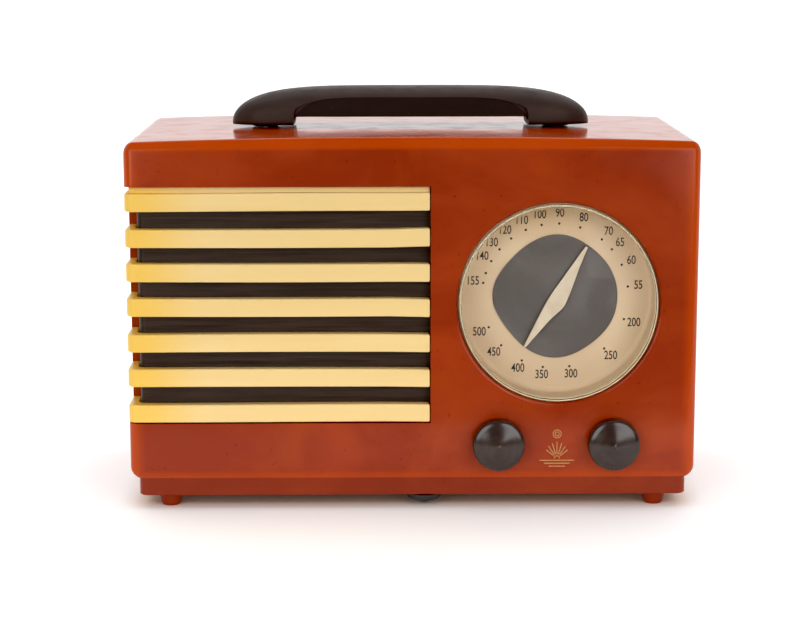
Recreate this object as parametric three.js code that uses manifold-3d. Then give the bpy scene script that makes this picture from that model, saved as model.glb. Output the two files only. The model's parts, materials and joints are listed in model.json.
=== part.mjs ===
// Carrying table radio of about 1940: a cast phenolic cabinet with a wrap-around louvred grille,
// a round dial under a domed lens, two knobs and a fixed bar handle, and the works inside it.
// Millimetres, +Z up, with the front facing -Y. The parts are placed about the middle of the
// cabinet, and the whole is then set so that the origin is on the table under its middle,
// knobs and screw heads included.
import * as THREE from 'three';
import { mergeVertices } from 'three/addons/utils/BufferGeometryUtils.js';
import Module from 'manifold-3d';

const wasm = await Module();
wasm.setup();

// ---- Driving dimensions ------------------------------------------------------------------
const GAP = 0.3;                  // clearance between parts that touch
const WIDTH = 279.4;
const DEPTH = 140;
const WALL = 5;
const FRONT = -DEPTH / 2;
const BACK = DEPTH / 2;
const SIDE = WIDTH / 2;

const BASE_Z = 6.5;               // underside of the plinth, the height of the moulded feet
const BODY_Z = 15.3;              // lower edge of the body, above the plinth
const SHOULDER_Z = 182;           // top edge at the cabinet's ends
const CROWN = 2.3;                // rise of the top from its ends to its middle
const CHAMFER_Z = 178.5;          // where the sides start to lean in below the top
const CORNER_R = 4.5;
const FLOOR_Z = BODY_Z + WALL;    // inside of the cabinet
const CEILING_Z = 177;

const BAR_COUNT = 7;
const BAR_PITCH = 17.47;
const BAR_HEIGHT = 9;
const BAR_DEPTH = 6;
const FIRST_BAR_Z = 48.3;         // middle of the lowest bar
const GRILLE_RIGHT = 8.8;
const GRILLE_WRAP = 22;           // how far the grille runs back along the left side
const GRILLE_LOW = 43.3;
const GRILLE_HIGH = 160.4;

const DIAL = { x: 71.3, z: 102.8, hole: 49.3, plateY: -48 };
const KNOB = {
  x: 70.4, spread: 28.3, z: 33.5, radius: 12.6, shaft: 3, back: FRONT - 1, front: FRONT - 9,
  dome: 2.2,
};
const TUNING_X = KNOB.x + KNOB.spread;
const VOLUME_X = KNOB.x - KNOB.spread;
const DRUM_R = 24;
const SPINDLE_R = 4.8;
const DRUM_Y = -42;

const SPEAKER = { x: -62, z: 101.6, radius: 50, neck: 10.8, backY: -37 };
const DECK_Z = 51.2;              // top of the chassis deck
const SHEET = 1.2;                // chassis sheet steel
const APRON_Y = -55.2;

const HANDLE = {
  half: 91, halfDepth: 19, top: 204.2, foot: 184.9, under: 189.5, flat: 36, postX: 74.3,
};
const BOLT_HOLE = 2.4;            // radius of the holes for the base bolts and handle screws

// ---- Materials ---------------------------------------------------------------------------
const finish = (color, roughness, metalness = 0) =>
  new THREE.MeshStandardMaterial({ color, roughness, metalness });
const clear = (color, roughness, opacity) =>
  new THREE.MeshStandardMaterial({ color, roughness, opacity, transparent: true });

const MATERIAL = {
  cabinet: finish(0x963a1e, 0.22),
  bar: finish(0xf6d284, 0.3),
  baffle: finish(0x3c2e26, 0.55),
  lens: clear(0xfaf6ec, 0.05, 0.3),
  plate: finish(0xcdaf82, 0.6),
  disc: finish(0x645c58, 0.6),
  pointer: finish(0xe8d7be, 0.45),
  knob: finish(0x37292a, 0.25),
  handle: finish(0x3a3230, 0.45),
  steel: finish(0x9a9a96, 0.4, 1),
  brass: finish(0xb58f45, 0.35, 1),
  aluminium: finish(0xc2c3c2, 0.4, 1),
  cord: finish(0xb8a98a, 0.8),
  paper: finish(0x2c2723, 0.9),
  magnet: finish(0x35383a, 0.5, 0.6),
  glass: clear(0xb9b4aa, 0.1, 0.45),
  socket: finish(0x3a2a20, 0.6),
  board: finish(0x5b4330, 0.85),
  copper: finish(0xb06a3a, 0.45, 1),
  rubber: finish(0x1c1b1a, 0.8),
};

// ---- Solids ------------------------------------------------------------------------------
function solid(geometry) {
  const bare = geometry.clone();
  bare.deleteAttribute('normal');
  bare.deleteAttribute('uv');
  const merged = mergeVertices(bare, 1e-4);
  const corners = merged.index.array;
  const faces = [];
  for (let i = 0; i < corners.length; i += 3) {
    const [a, b, c] = corners.slice(i, i + 3);
    if (a !== b && b !== c && c !== a) faces.push(a, b, c);
  }
  return new wasm.Manifold(new wasm.Mesh({
    numProp: 3,
    vertProperties: Float32Array.from(merged.attributes.position.array),
    triVerts: Uint32Array.from(faces),
  }));
}

function geometryOf(body) {
  const mesh = body.getMesh();
  const geometry = new THREE.BufferGeometry();
  geometry.setAttribute('position', new THREE.BufferAttribute(mesh.vertProperties, 3));
  geometry.setIndex(new THREE.BufferAttribute(mesh.triVerts, 1));
  geometry.computeVertexNormals();
  return geometry;
}

const cut = (body, tools) => tools.reduce((left, tool) => left.subtract(tool), body);
const join = (bodies) => bodies.reduce((all, body) => all.add(body));

// Extrusions: an outline in two axes, carried along the third from one coordinate to another.
const X_FROM_YZ = new THREE.Matrix4().set(0, 0, 1, 0, 1, 0, 0, 0, 0, 1, 0, 0, 0, 0, 0, 1);

function extrude(shape, length, curveSegments) {
  return new THREE.ExtrudeGeometry(shape, { depth: length, bevelEnabled: false, curveSegments });
}

function alongZ(shape, z0, z1, segments = 4) {
  return solid(extrude(shape, z1 - z0, segments).translate(0, 0, z0));
}

function alongY(shape, y0, y1, segments = 4) {
  return solid(extrude(shape, y1 - y0, segments).rotateX(Math.PI / 2).translate(0, y1, 0));
}

function alongX(shape, x0, x1, segments = 4) {
  return solid(extrude(shape, x1 - x0, segments).applyMatrix4(X_FROM_YZ).translate(x0, 0, 0));
}

function box(x0, x1, y0, y1, z0, z1) {
  const geometry = new THREE.BoxGeometry(x1 - x0, y1 - y0, z1 - z0);
  return solid(geometry.translate((x0 + x1) / 2, (y0 + y1) / 2, (z0 + z1) / 2));
}

// A turned part, from [radius, height] pairs in either order round the section. A section that
// stays off the axis closes on itself; any other starts and ends on the axis.
function lathe(profile, segments) {
  const points = profile.map(([r, h]) => new THREE.Vector2(r, h));
  if (THREE.ShapeUtils.area(points) < 0) points.reverse();
  return new THREE.LatheGeometry(points, segments);
}

// Turned about an axis parallel to Y through x, z, with heights along Y.
const turnedY = (profile, x, z, segments = 24) => solid(lathe(profile, segments).translate(x, 0, z));

// Turned about an axis parallel to Z through x, y, with heights along Z.
const turnedZ = (profile, x, y, segments = 24) =>
  solid(lathe(profile, segments).rotateX(Math.PI / 2).translate(x, y, 0));

const rodY = (radius, y0, y1, x, z, segments = 16) =>
  turnedY([[0, y0], [radius, y0], [radius, y1], [0, y1]], x, z, segments);
const rodZ = (radius, z0, z1, x, y, segments = 16) =>
  turnedZ([[0, z0], [radius, z0], [radius, z1], [0, z1]], x, y, segments);

function roundedRect(x0, x1, y0, y1, r) {
  const shape = new THREE.Shape();
  shape.moveTo(x0 + r, y0);
  shape.lineTo(x1 - r, y0);
  shape.absarc(x1 - r, y0 + r, r, -Math.PI / 2, 0);
  shape.lineTo(x1, y1 - r);
  shape.absarc(x1 - r, y1 - r, r, 0, Math.PI / 2);
  shape.lineTo(x0 + r, y1);
  shape.absarc(x0 + r, y1 - r, r, Math.PI / 2, Math.PI);
  shape.lineTo(x0, y0 + r);
  shape.absarc(x0 + r, y0 + r, r, Math.PI, 1.5 * Math.PI);
  return shape;
}

const polygon = (points) => new THREE.Shape(points.map(([a, b]) => new THREE.Vector2(a, b)));

const radio = new THREE.Group();

function add(name, body, material) {
  const mesh = new THREE.Mesh(geometryOf(body), material);
  mesh.name = name;
  radio.add(mesh);
}

// ---- Cabinet -----------------------------------------------------------------------------
const BOTTOM_R = 5.3;
const TOP_R = 4;
const LEAN = 1.4;                 // how far the chamfer leans in by the top
const PLINTH_INSET = 4.1;
const FOOT = { x: 120.5, y: 60, radius: 6.5, sole: 3.2 };
const BASE_BOLT = { x: 5.8, front: -60.5, rear: 54 };
const POST = { inset: 7, radius: 6, length: 16, pilot: 1.7, pilotDepth: 12 };
const RIB = 3;                    // thickness of the ribs that hold the back-cover posts
const COVER_Y = 66;

function frontOutline() {
  const shape = new THREE.Shape();
  shape.moveTo(-SIDE + BOTTOM_R, BODY_Z);
  shape.lineTo(SIDE - BOTTOM_R, BODY_Z);
  shape.absarc(SIDE - BOTTOM_R, BODY_Z + BOTTOM_R, BOTTOM_R, -Math.PI / 2, 0);
  shape.lineTo(SIDE, SHOULDER_Z - TOP_R);
  shape.absarc(SIDE - TOP_R, SHOULDER_Z - TOP_R, TOP_R, 0, Math.PI / 2);
  shape.quadraticCurveTo(0, SHOULDER_Z + 2 * CROWN, -SIDE + TOP_R, SHOULDER_Z);
  shape.absarc(-SIDE + TOP_R, SHOULDER_Z - TOP_R, TOP_R, Math.PI / 2, Math.PI);
  shape.lineTo(-SIDE, BODY_Z + BOTTOM_R);
  shape.absarc(-SIDE + BOTTOM_R, BODY_Z + BOTTOM_R, BOTTOM_R, Math.PI, 1.5 * Math.PI);
  return shape;
}

const postPlaces = [-1, 1].flatMap((sx) => [FLOOR_Z + POST.inset, CEILING_Z - POST.inset]
  .map((z) => ({ x: sx * (SIDE - WALL - POST.inset), z })));

function cabinet() {
  const high = SHOULDER_Z + CROWN + 1;
  const sideProfile = polygon([
    [FRONT + 1.5, BODY_Z], [BACK - 1.5, BODY_Z], [BACK, BODY_Z + 1.5], [BACK, CHAMFER_Z],
    [BACK - LEAN, high], [FRONT + LEAN, high], [FRONT, CHAMFER_Z], [FRONT, BODY_Z + 1.5],
  ]);
  const body = alongY(frontOutline(), FRONT, BACK, 6)
    .intersect(alongZ(roundedRect(-SIDE, SIDE, FRONT, BACK, CORNER_R), BODY_Z - 1, high, 3))
    .intersect(alongX(sideProfile, -SIDE - 1, SIDE + 1));
  const plinthX = SIDE - PLINTH_INSET;
  const plinthOutline = roundedRect(-plinthX, plinthX, FRONT + 1.4, BACK - 4, CORNER_R);
  const plinth = alongZ(plinthOutline, BASE_Z, BODY_Z + 1, 3);
  const foot = [
    [0, 0], [FOOT.sole, 0], [5.3, 1.4], [FOOT.radius, BASE_Z - 1], [FOOT.radius, BASE_Z + 1],
    [0, BASE_Z + 1],
  ];
  const feet = [-1, 1].flatMap((sx) => [-1, 1].map((sy) => turnedZ(foot, sx * FOOT.x, sy * FOOT.y, 12)));
  const shell = join([body, plinth, ...feet]);

  const cavity = alongY(
    roundedRect(-SIDE + WALL, SIDE - WALL, FLOOR_Z, CEILING_Z, 3), FRONT + WALL, BACK + 1, 2);
  const postY = COVER_Y - POST.length;
  const posts = postPlaces.map(({ x, z }) => rodY(POST.radius, postY, COVER_Y - GAP, x, z, 10));
  const ribs = postPlaces.map(({ x, z }) => {
    const wallX = Math.sign(x) * (SIDE - WALL + 1);
    const webZ = z < DIAL.z ? [FLOOR_Z - 1, z] : [z, CEILING_Z + 1];
    return join([
      box(Math.min(x, wallX), Math.max(x, wallX), postY, COVER_Y - GAP, z - RIB / 2, z + RIB / 2),
      box(x - RIB / 2, x + RIB / 2, postY, COVER_Y - GAP, ...webZ),
    ]);
  });
  const hollow = join([shell.subtract(cavity), ...posts, ...ribs]);

  return cut(hollow, [
    box(-SIDE - 1, GRILLE_RIGHT, FRONT - 1, FRONT + GRILLE_WRAP, GRILLE_LOW, GRILLE_HIGH),
    rodY(DIAL.hole, FRONT - 1, FRONT + WALL + 1, DIAL.x, DIAL.z, 44),
    rodY(KNOB.shaft + 1, FRONT - 1, FRONT + WALL + 1, TUNING_X, KNOB.z),
    rodY(KNOB.shaft + 1, FRONT - 1, FRONT + WALL + 1, VOLUME_X, KNOB.z),
    rodZ(BOLT_HOLE, 0, FLOOR_Z + 1, BASE_BOLT.x, BASE_BOLT.front, 10),
    rodZ(BOLT_HOLE, 0, FLOOR_Z + 1, BASE_BOLT.x, BASE_BOLT.rear, 10),
    rodZ(BOLT_HOLE, CEILING_Z - 1, high, HANDLE.postX, 0, 10),
    rodZ(BOLT_HOLE, CEILING_Z - 1, high, -HANDLE.postX, 0, 10),
    ...postPlaces.map(({ x, z }) => rodY(POST.pilot, COVER_Y - POST.pilotDepth, COVER_Y, x, z, 8)),
  ]);
}

// ---- Grille ------------------------------------------------------------------------------
const WRAP_Y = FRONT + GRILLE_WRAP - GAP;
const LEG = 4.7;                  // thickness of a bar along the cabinet's side
const BAFFLE_R = 3.5;
const BAFFLE_LAP = 2.3;           // how far the baffle reaches past the opening, above and below
const SLOT = { half: 36, middleHalf: 42, halfHeight: 3 };

// An angle that follows the front from its right end, round the left corner and back.
function angleOutline(right, left, front, thickness, legThickness, end, outerR, innerR) {
  const inside = left + legThickness;
  const shape = new THREE.Shape();
  shape.moveTo(right, front);
  shape.lineTo(right, front + thickness);
  shape.lineTo(inside + innerR, front + thickness);
  shape.absarc(inside + innerR, front + thickness + innerR, innerR, -Math.PI / 2, -Math.PI, true);
  shape.lineTo(inside, end);
  shape.lineTo(left, end);
  shape.lineTo(left, front + outerR);
  shape.absarc(left + outerR, front + outerR, outerR, Math.PI, 1.5 * Math.PI);
  return shape;
}

function grilleBar(index) {
  const middle = FIRST_BAR_Z + BAR_PITCH * index;
  const outline = angleOutline(
    GRILLE_RIGHT - 0.5, -SIDE, FRONT, BAR_DEPTH, LEG, WRAP_Y, 4, BAFFLE_R + GAP);
  const bar = alongZ(outline, middle - BAR_HEIGHT / 2, middle + BAR_HEIGHT / 2);
  if (index < BAR_COUNT - 1) return bar;
  // The top bar's tongue fills the slit under the cabinet's edge.
  const tongue = angleOutline(
    GRILLE_RIGHT - 0.5, -SIDE + 2.2, FRONT + 2.6, BAR_DEPTH - 2.6, LEG - 2.2, WRAP_Y, 2, BAFFLE_R + GAP);
  return bar.add(alongZ(tongue, middle, GRILLE_HIGH - GAP));
}

function baffle() {
  const front = FRONT + BAR_DEPTH + GAP;
  const outline = angleOutline(GRILLE_RIGHT + 4, -SIDE + WALL + GAP, front, 3, 3, FRONT + 26, BAFFLE_R, 1);
  const board = alongZ(outline, GRILLE_LOW - BAFFLE_LAP, GRILLE_HIGH + BAFFLE_LAP);
  const slots = [];
  for (let i = 1; i < BAR_COUNT - 1; i += 1) {
    const z = FIRST_BAR_Z + BAR_PITCH * i;
    const half = i === 3 ? SLOT.middleHalf : SLOT.half;
    slots.push(box(SPEAKER.x - half, SPEAKER.x + half, front - 1, front + 4,
      z - SLOT.halfHeight, z + SLOT.halfHeight));
  }
  return cut(board, slots);
}

// ---- Dial --------------------------------------------------------------------------------
const LENS_R = DIAL.hole - 0.4;
const PAN_R = DIAL.hole - 0.7;
const PAN_FRONT = FRONT + WALL + GAP;
const POINTER = { turn: 31, length: 29.3, y: -51.2, thick: 0.8, stud: 1.2 };
const DISC = { radius: 31.1, hole: 1.8, y: -49, thick: 0.7 };
const PAN = { hole: 2.4, sheet: 1.4, wall: 1.2, flange: 4 };
const DRUM = { bore: 3.3, hub: 7, flange: 2 };

function dialLens() {
  const back = PAN_FRONT - 0.6;
  const outer = [
    [0, FRONT - 6.2], [28, FRONT - 5.2], [44, FRONT - 3], [47.6, FRONT - 1.2], [LENS_R, FRONT + 1],
    [LENS_R, back],
  ];
  const inner = [[46, back], [46, FRONT + 1.4], [42, FRONT - 1], [27, FRONT - 3.2], [0, FRONT - 4.2]];
  return turnedY([...outer, ...inner], DIAL.x, DIAL.z, 36);
}

function dialPan() {
  const { hole, sheet, wall, flange } = PAN;
  const { plateY } = DIAL;
  const profile = [
    [hole, plateY], [hole, plateY + sheet], [PAN_R + wall, plateY + sheet],
    [PAN_R + wall, PAN_FRONT + wall], [PAN_R + flange, PAN_FRONT + wall], [PAN_R + flange, PAN_FRONT],
    [PAN_R, PAN_FRONT], [PAN_R, plateY], [hole, plateY],
  ];
  return turnedY(profile, DIAL.x, DIAL.z, 36);
}

function dialDisc() {
  const { radius, hole, y, thick } = DISC;
  const profile = [[hole, y], [hole, y + thick], [radius, y + thick], [radius, y], [hole, y]];
  return turnedY(profile, DIAL.x, DIAL.z, 32);
}

function pointer() {
  const shape = new THREE.Shape();
  shape.moveTo(0.7, -POINTER.length);
  shape.quadraticCurveTo(3.4, -18, 5.2, -4);
  shape.quadraticCurveTo(5.8, 0, 5, 4);
  shape.lineTo(0.8, POINTER.length);
  shape.lineTo(-0.6, POINTER.length);
  shape.quadraticCurveTo(-3, 10, -3.4, 0);
  shape.lineTo(-0.7, -POINTER.length);
  const { y, thick, stud } = POINTER;
  const needle = solid(extrude(shape, thick, 4).rotateX(Math.PI / 2).translate(0, y + thick, 0)
    .rotateY(THREE.MathUtils.degToRad(POINTER.turn)).translate(DIAL.x, 0, DIAL.z));
  const collar = rodY(2.3, y + thick / 2, DISC.y - 0.4, DIAL.x, DIAL.z, 12);
  return needle.add(collar).subtract(rodY(stud + GAP, y + thick / 2, y + 3, DIAL.x, DIAL.z, 12));
}

function dialShaft() {
  const { y, thick, stud } = POINTER;
  const shoulder = DIAL.plateY + 1.8;
  const profile = [
    [0, y + thick / 2 + GAP], [stud, y + thick / 2 + GAP], [stud, shoulder], [3, shoulder],
    [3, 9], [0, 9],
  ];
  return turnedY(profile, DIAL.x, DIAL.z, 16);
}

function driveDrum() {
  const { bore, hub, flange } = DRUM;
  const rim = DRUM_R + flange;
  const profile = [
    [bore, DRUM_Y - 2], [bore, DRUM_Y + 4], [hub, DRUM_Y + 4], [hub, DRUM_Y + 2], [rim, DRUM_Y + 2],
    [rim, DRUM_Y + 1], [DRUM_R, DRUM_Y + 0.9], [DRUM_R, DRUM_Y - 0.9], [rim, DRUM_Y - 1],
    [rim, DRUM_Y - 2], [bore, DRUM_Y - 2],
  ];
  return turnedY(profile, DIAL.x, DIAL.z, 28);
}

// The loop round two pulleys, its straight runs on their outer tangents.
function loopOutline(offset) {
  const across = TUNING_X - DIAL.x;
  const up = KNOB.z - DIAL.z;
  const lean = Math.atan2(up, across);
  const open = Math.acos((DRUM_R - SPINDLE_R) / Math.hypot(across, up));
  const path = new THREE.Path();
  path.absarc(DIAL.x, DIAL.z, DRUM_R + offset, lean + open, lean - open + 2 * Math.PI, false);
  path.absarc(TUNING_X, KNOB.z, SPINDLE_R + offset, lean - open, lean + open, false);
  return path.getPoints(11);
}

function driveCord() {
  const shape = new THREE.Shape(loopOutline(GAP + 0.9));
  shape.holes.push(new THREE.Path(loopOutline(GAP)));
  return alongY(shape, DRUM_Y - 0.5, DRUM_Y + 0.5);
}

// ---- Knobs, shafts and the parts they turn -----------------------------------------------
function knob(x) {
  const { radius, back, front, dome } = KNOB;
  const profile = [
    [0, front - dome], [1.2, front - dome + 0.3], [radius - 1.6, front], [radius, front + 1.4],
    [radius + 0.1, back - 1.5], [radius - 0.6, back], [KNOB.shaft + 0.3, back],
    [KNOB.shaft + 0.3, front + 2], [0, front + 2],
  ];
  return turnedY(profile, x, KNOB.z, 24);
}

function volumeShaft() {
  return rodY(KNOB.shaft, KNOB.front + 2.3, APRON_Y + 2, VOLUME_X, KNOB.z);
}

function tuningShaft() {
  const r = KNOB.shaft;
  const profile = [
    [0, KNOB.front + 2.3], [r, KNOB.front + 2.3], [r, DRUM_Y - 3], [SPINDLE_R + 1.5, DRUM_Y - 3],
    [SPINDLE_R + 1.5, DRUM_Y - 1], [SPINDLE_R, DRUM_Y - 1], [SPINDLE_R, DRUM_Y + 1],
    [SPINDLE_R + 1.5, DRUM_Y + 1], [SPINDLE_R + 1.5, DRUM_Y + 3], [0, DRUM_Y + 3],
  ];
  return turnedY(profile, TUNING_X, KNOB.z, 16);
}

function bushed(x, bodyProfile) {
  const bore = rodY(KNOB.shaft + 0.4, FRONT, APRON_Y + 2.4, x, KNOB.z);
  return turnedY(bodyProfile, x, KNOB.z, 16).subtract(bore);
}

function volumeControl() {
  const near = APRON_Y + SHEET + GAP;
  const profile = [
    [0, APRON_Y - 4], [4.6, APRON_Y - 4], [4.6, near], [13, near], [13, near + 11],
    [10, near + 11], [10, near + 18], [0, near + 18],
  ];
  return bushed(VOLUME_X, profile);
}

function tuningBush() {
  const profile = [
    [0, APRON_Y - 4], [4.6, APRON_Y - 4], [4.6, APRON_Y - 1 - GAP], [7, APRON_Y - 1 - GAP],
    [7, APRON_Y - GAP], [4.6, APRON_Y - GAP], [4.6, APRON_Y + 4], [0, APRON_Y + 4],
  ];
  const bore = rodY(KNOB.shaft + 0.1, FRONT, APRON_Y + 6, TUNING_X, KNOB.z);
  return turnedY(profile, TUNING_X, KNOB.z, 16).subtract(bore);
}

// ---- Tuning capacitor --------------------------------------------------------------------
const GANG = { half: 22, front: -36, rear: 5, bottom: 76, top: 124, plate: 19, pitch: 8 };
const ROTOR_PLATES = 4;

function gangFrame() {
  const { front, rear, bottom, top, half } = GANG;
  const outline = polygon([
    [front, bottom], [rear, bottom], [rear, top], [rear - SHEET, top], [rear - SHEET, bottom + SHEET],
    [front + SHEET, bottom + SHEET], [front + SHEET, top], [front, top],
  ]);
  return alongX(outline, DIAL.x - half, DIAL.x + half)
    .subtract(rodY(3.6, front - 1, rear + 1, DIAL.x, DIAL.z));
}

const platePlace = (i) => GANG.front + 6 + GANG.pitch * i;

function gangRotor() {
  const half = new THREE.Shape();
  half.absarc(0, 0, GANG.plate, -Math.PI / 2, Math.PI / 2);
  half.absarc(0, 0, 4, Math.PI / 2, -Math.PI / 2, true);
  const bore = rodY(DRUM.bore, GANG.front, GANG.rear, 0, 0);
  const parts = [rodY(5, platePlace(0), platePlace(ROTOR_PLATES - 1) + 1, 0, 0)];
  for (let i = 0; i < ROTOR_PLATES; i += 1) parts.push(alongY(half, platePlace(i), platePlace(i) + 1, 7));
  return join(parts).subtract(bore).rotate([0, POINTER.turn, 0]).translate([DIAL.x, 0, DIAL.z]);
}

function gangStator() {
  const vane = new THREE.Shape();
  vane.absarc(DIAL.x, DIAL.z, GANG.plate + 2.4, Math.PI / 2, 1.5 * Math.PI);
  vane.absarc(DIAL.x, DIAL.z, 7, 1.5 * Math.PI, Math.PI / 2, true);
  const parts = [];
  for (let i = 0; i < ROTOR_PLATES - 1; i += 1) {
    const y = platePlace(i) + 0.5 + GANG.pitch / 2;
    parts.push(alongY(vane, y - 0.5, y + 0.5, 6));
  }
  for (const angle of [0.7, 1, 1.3]) {
    const r = GANG.plate + 1.3;
    parts.push(rodY(0.7, GANG.front + SHEET + GAP, GANG.rear - SHEET - GAP,
      DIAL.x + r * Math.cos(angle * Math.PI), DIAL.z + r * Math.sin(angle * Math.PI), 6));
  }
  return join(parts);
}

function gangBracket() {
  const [x0, x1] = [DIAL.x - 17, DIAL.x + 17];
  const [z0, z1] = [DECK_Z + GAP, GANG.bottom - GAP];
  const outline = polygon([
    [x0 - 7, z0], [x0 + SHEET, z0], [x0 + SHEET, z1 - SHEET], [x1 - SHEET, z1 - SHEET],
    [x1 - SHEET, z0], [x1 + 7, z0], [x1 + 7, z0 + SHEET], [x1, z0 + SHEET], [x1, z1], [x0, z1],
    [x0, z0 + SHEET], [x0 - 7, z0 + SHEET],
  ]);
  return alongY(outline, -30, 0);
}

// ---- Chassis and what stands on it -------------------------------------------------------
const VALVE_Y = 38;
const VALVE_X = [-108, -70, -32, 52, 92];
const SOCKET_HOLE = 13.6;
const CHASSIS_HALF = 112;

function chassis() {
  const [y0, y1, z0] = [APRON_Y, 60, FLOOR_Z + GAP];
  const outline = polygon([
    [FRONT + WALL + 0.6, z0], [y0 + SHEET, z0], [y0 + SHEET, DECK_Z - SHEET],
    [y1 - SHEET, DECK_Z - SHEET], [y1 - SHEET, z0 + SHEET], [y1 - 13, z0 + SHEET], [y1 - 13, z0],
    [y1, z0], [y1, DECK_Z], [y0, DECK_Z], [y0, z0 + SHEET], [FRONT + WALL + 0.6, z0 + SHEET],
  ]);
  return cut(alongX(outline, -CHASSIS_HALF, CHASSIS_HALF), [
    ...VALVE_X.map((x) => rodZ(SOCKET_HOLE + 0.4, DECK_Z - 3, DECK_Z + 1, x, VALVE_Y, 14)),
    rodY(5, APRON_Y - 1, APRON_Y + 2, VOLUME_X, KNOB.z),
    rodY(5, APRON_Y - 1, APRON_Y + 2, TUNING_X, KNOB.z),
    box(70, 108, DRUM_Y - 4, DRUM_Y + 4, DECK_Z - 3, DECK_Z + 1),
    rodZ(BOLT_HOLE, FLOOR_Z - 1, FLOOR_Z + 3, BASE_BOLT.x, BASE_BOLT.front, 10),
    rodZ(BOLT_HOLE, FLOOR_Z - 1, FLOOR_Z + 3, BASE_BOLT.x, BASE_BOLT.rear, 10),
  ]);
}

function valveSocket(x) {
  const z = DECK_Z + GAP;
  const profile = [[0, z - 6], [13.2, z - 6], [13.2, z], [15.5, z], [15.5, z + 2], [0, z + 2]];
  return turnedZ(profile, x, VALVE_Y, 14);
}

function valve(x, height) {
  const z = DECK_Z + 2 + 2 * GAP;
  const profile = [
    [0, z], [14.5, z], [14.5, z + 14], [15, z + 20], [15, z + height - 16], [8.5, z + height - 5],
    [4, z + height], [0, z + height],
  ];
  return turnedZ(profile, x, VALVE_Y, 12);
}

function intermediateCan(x, y) {
  const z = DECK_Z + GAP;
  return alongZ(roundedRect(x - 15, x + 15, y - 15, y + 15, 3), z, z + 62, 2);
}

function filterCapacitor() {
  const z = DECK_Z + GAP;
  const profile = [
    [0, z + 58], [9, z + 58], [12.5, z + 55], [12.5, z + 2], [14.5, z + 2], [14.5, z], [0, z],
  ];
  return turnedZ(profile, -18, 2, 14);
}

function outputTransformer() {
  const z = DECK_Z + GAP;
  const core = box(-112, -80, 2, 15, z, z + 28);
  const bobbin = alongY(roundedRect(-106, -86, z + 4.5, z + 23.5, 4), -3, 20, 2);
  return core.add(bobbin);
}

// ---- Loudspeaker -------------------------------------------------------------------------
const RIM_Y = FRONT + BAR_DEPTH + 3 + 2 * GAP;

function speakerFrame() {
  const { radius, neck, backY } = SPEAKER;
  const profile = [
    [44, RIM_Y], [radius, RIM_Y], [radius, RIM_Y + SHEET], [46, RIM_Y + SHEET], [21, backY],
    [neck, backY], [neck, backY - SHEET], [20.4, backY - SHEET], [44, RIM_Y + 1.6], [44, RIM_Y],
  ];
  const windows = [45, 135, 225, 315].map((turn) => {
    const opening = box(24, 38, -52, -36, -9, 9).rotate([0, turn, 0]);
    return opening.translate([SPEAKER.x, 0, SPEAKER.z]);
  });
  return cut(turnedY(profile, SPEAKER.x, SPEAKER.z, 24), windows);
}

function speakerSurround() {
  const profile = [
    [38.4, RIM_Y + 0.8], [41, RIM_Y - 0.1], [43.7, RIM_Y + 0.8], [43.7, RIM_Y + 1.4],
    [41, RIM_Y + 0.7], [38.4, RIM_Y + 1.4], [38.4, RIM_Y + 0.8],
  ];
  return turnedY(profile, SPEAKER.x, SPEAKER.z, 24);
}

function speakerCone() {
  const edge = RIM_Y + 1.4;
  const profile = [
    [0, -47], [6, -46], [9.8, -43.5], [38, edge - 0.7], [38, edge], [9.9, -42.8], [9.9, -30],
    [9.1, -30], [9.1, -43.3], [6, -45.4], [0, -46.4],
  ];
  return turnedY(profile, SPEAKER.x, SPEAKER.z, 24);
}

function speakerMagnet() {
  const { neck } = SPEAKER;
  const front = SPEAKER.backY + GAP;
  const profile = [
    [0, front], [8.3, front], [8.3, -22], [neck, -22], [neck, front], [19, front], [21, front + 2],
    [21, -16], [19, -14], [0, -14],
  ];
  return turnedY(profile, SPEAKER.x, SPEAKER.z, 20);
}

// ---- Back cover, aerial and fastenings ---------------------------------------------------
const COVER = { thick: 2.4, left: -SIDE + WALL + 1, low: FLOOR_Z + 0.8, high: CEILING_Z - 0.8 };
const CORD_HOLE = { x: 98, z: 34, radius: 6 };
const VENT = { columns: 2, rows: 3, half: 15, height: 4, across: 42, up: 12, low: 124 };
const SCREW = { shank: 1.4, head: 3.4, dome: 1.9, length: 10, hole: 1.9 };

function backCover() {
  const { thick, left, low, high } = COVER;
  const plate = alongY(roundedRect(left, -left, low, high, 3), COVER_Y, COVER_Y + thick, 2);
  const vents = [];
  for (let column = -VENT.columns; column <= VENT.columns; column += 1) {
    for (let row = 0; row < VENT.rows; row += 1) {
      const x = column * VENT.across;
      const z = VENT.low + row * VENT.up;
      vents.push(box(x - VENT.half, x + VENT.half, COVER_Y - 1, COVER_Y + thick + 1, z, z + VENT.height));
    }
  }
  return cut(plate, [
    ...vents,
    rodY(CORD_HOLE.radius, COVER_Y - 1, COVER_Y + thick + 1, CORD_HOLE.x, CORD_HOLE.z, 16),
    ...postPlaces.map(({ x, z }) => rodY(SCREW.hole, COVER_Y - 1, COVER_Y + thick + 1, x, z, 10)),
  ]);
}

function coverScrew({ x, z }) {
  const outside = COVER_Y + COVER.thick + GAP;
  const { shank, head, dome, length } = SCREW;
  const profile = [
    [0, COVER_Y - length], [shank, COVER_Y - length], [shank, outside], [head, outside],
    [head - 0.8, outside + dome - 0.4], [0, outside + dome],
  ];
  return turnedY(profile, x, z, 12);
}

function loopAerial() {
  const outline = roundedRect(-108, 108, 46, 168, 20);
  outline.holes.push(roundedRect(-96, 96, 58, 156, 12));
  const vents = box(-100, 100, COVER_Y - 4, COVER_Y, 119, 157);
  return alongY(outline, COVER_Y - 1.6, COVER_Y - GAP, 3).subtract(vents);
}

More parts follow.
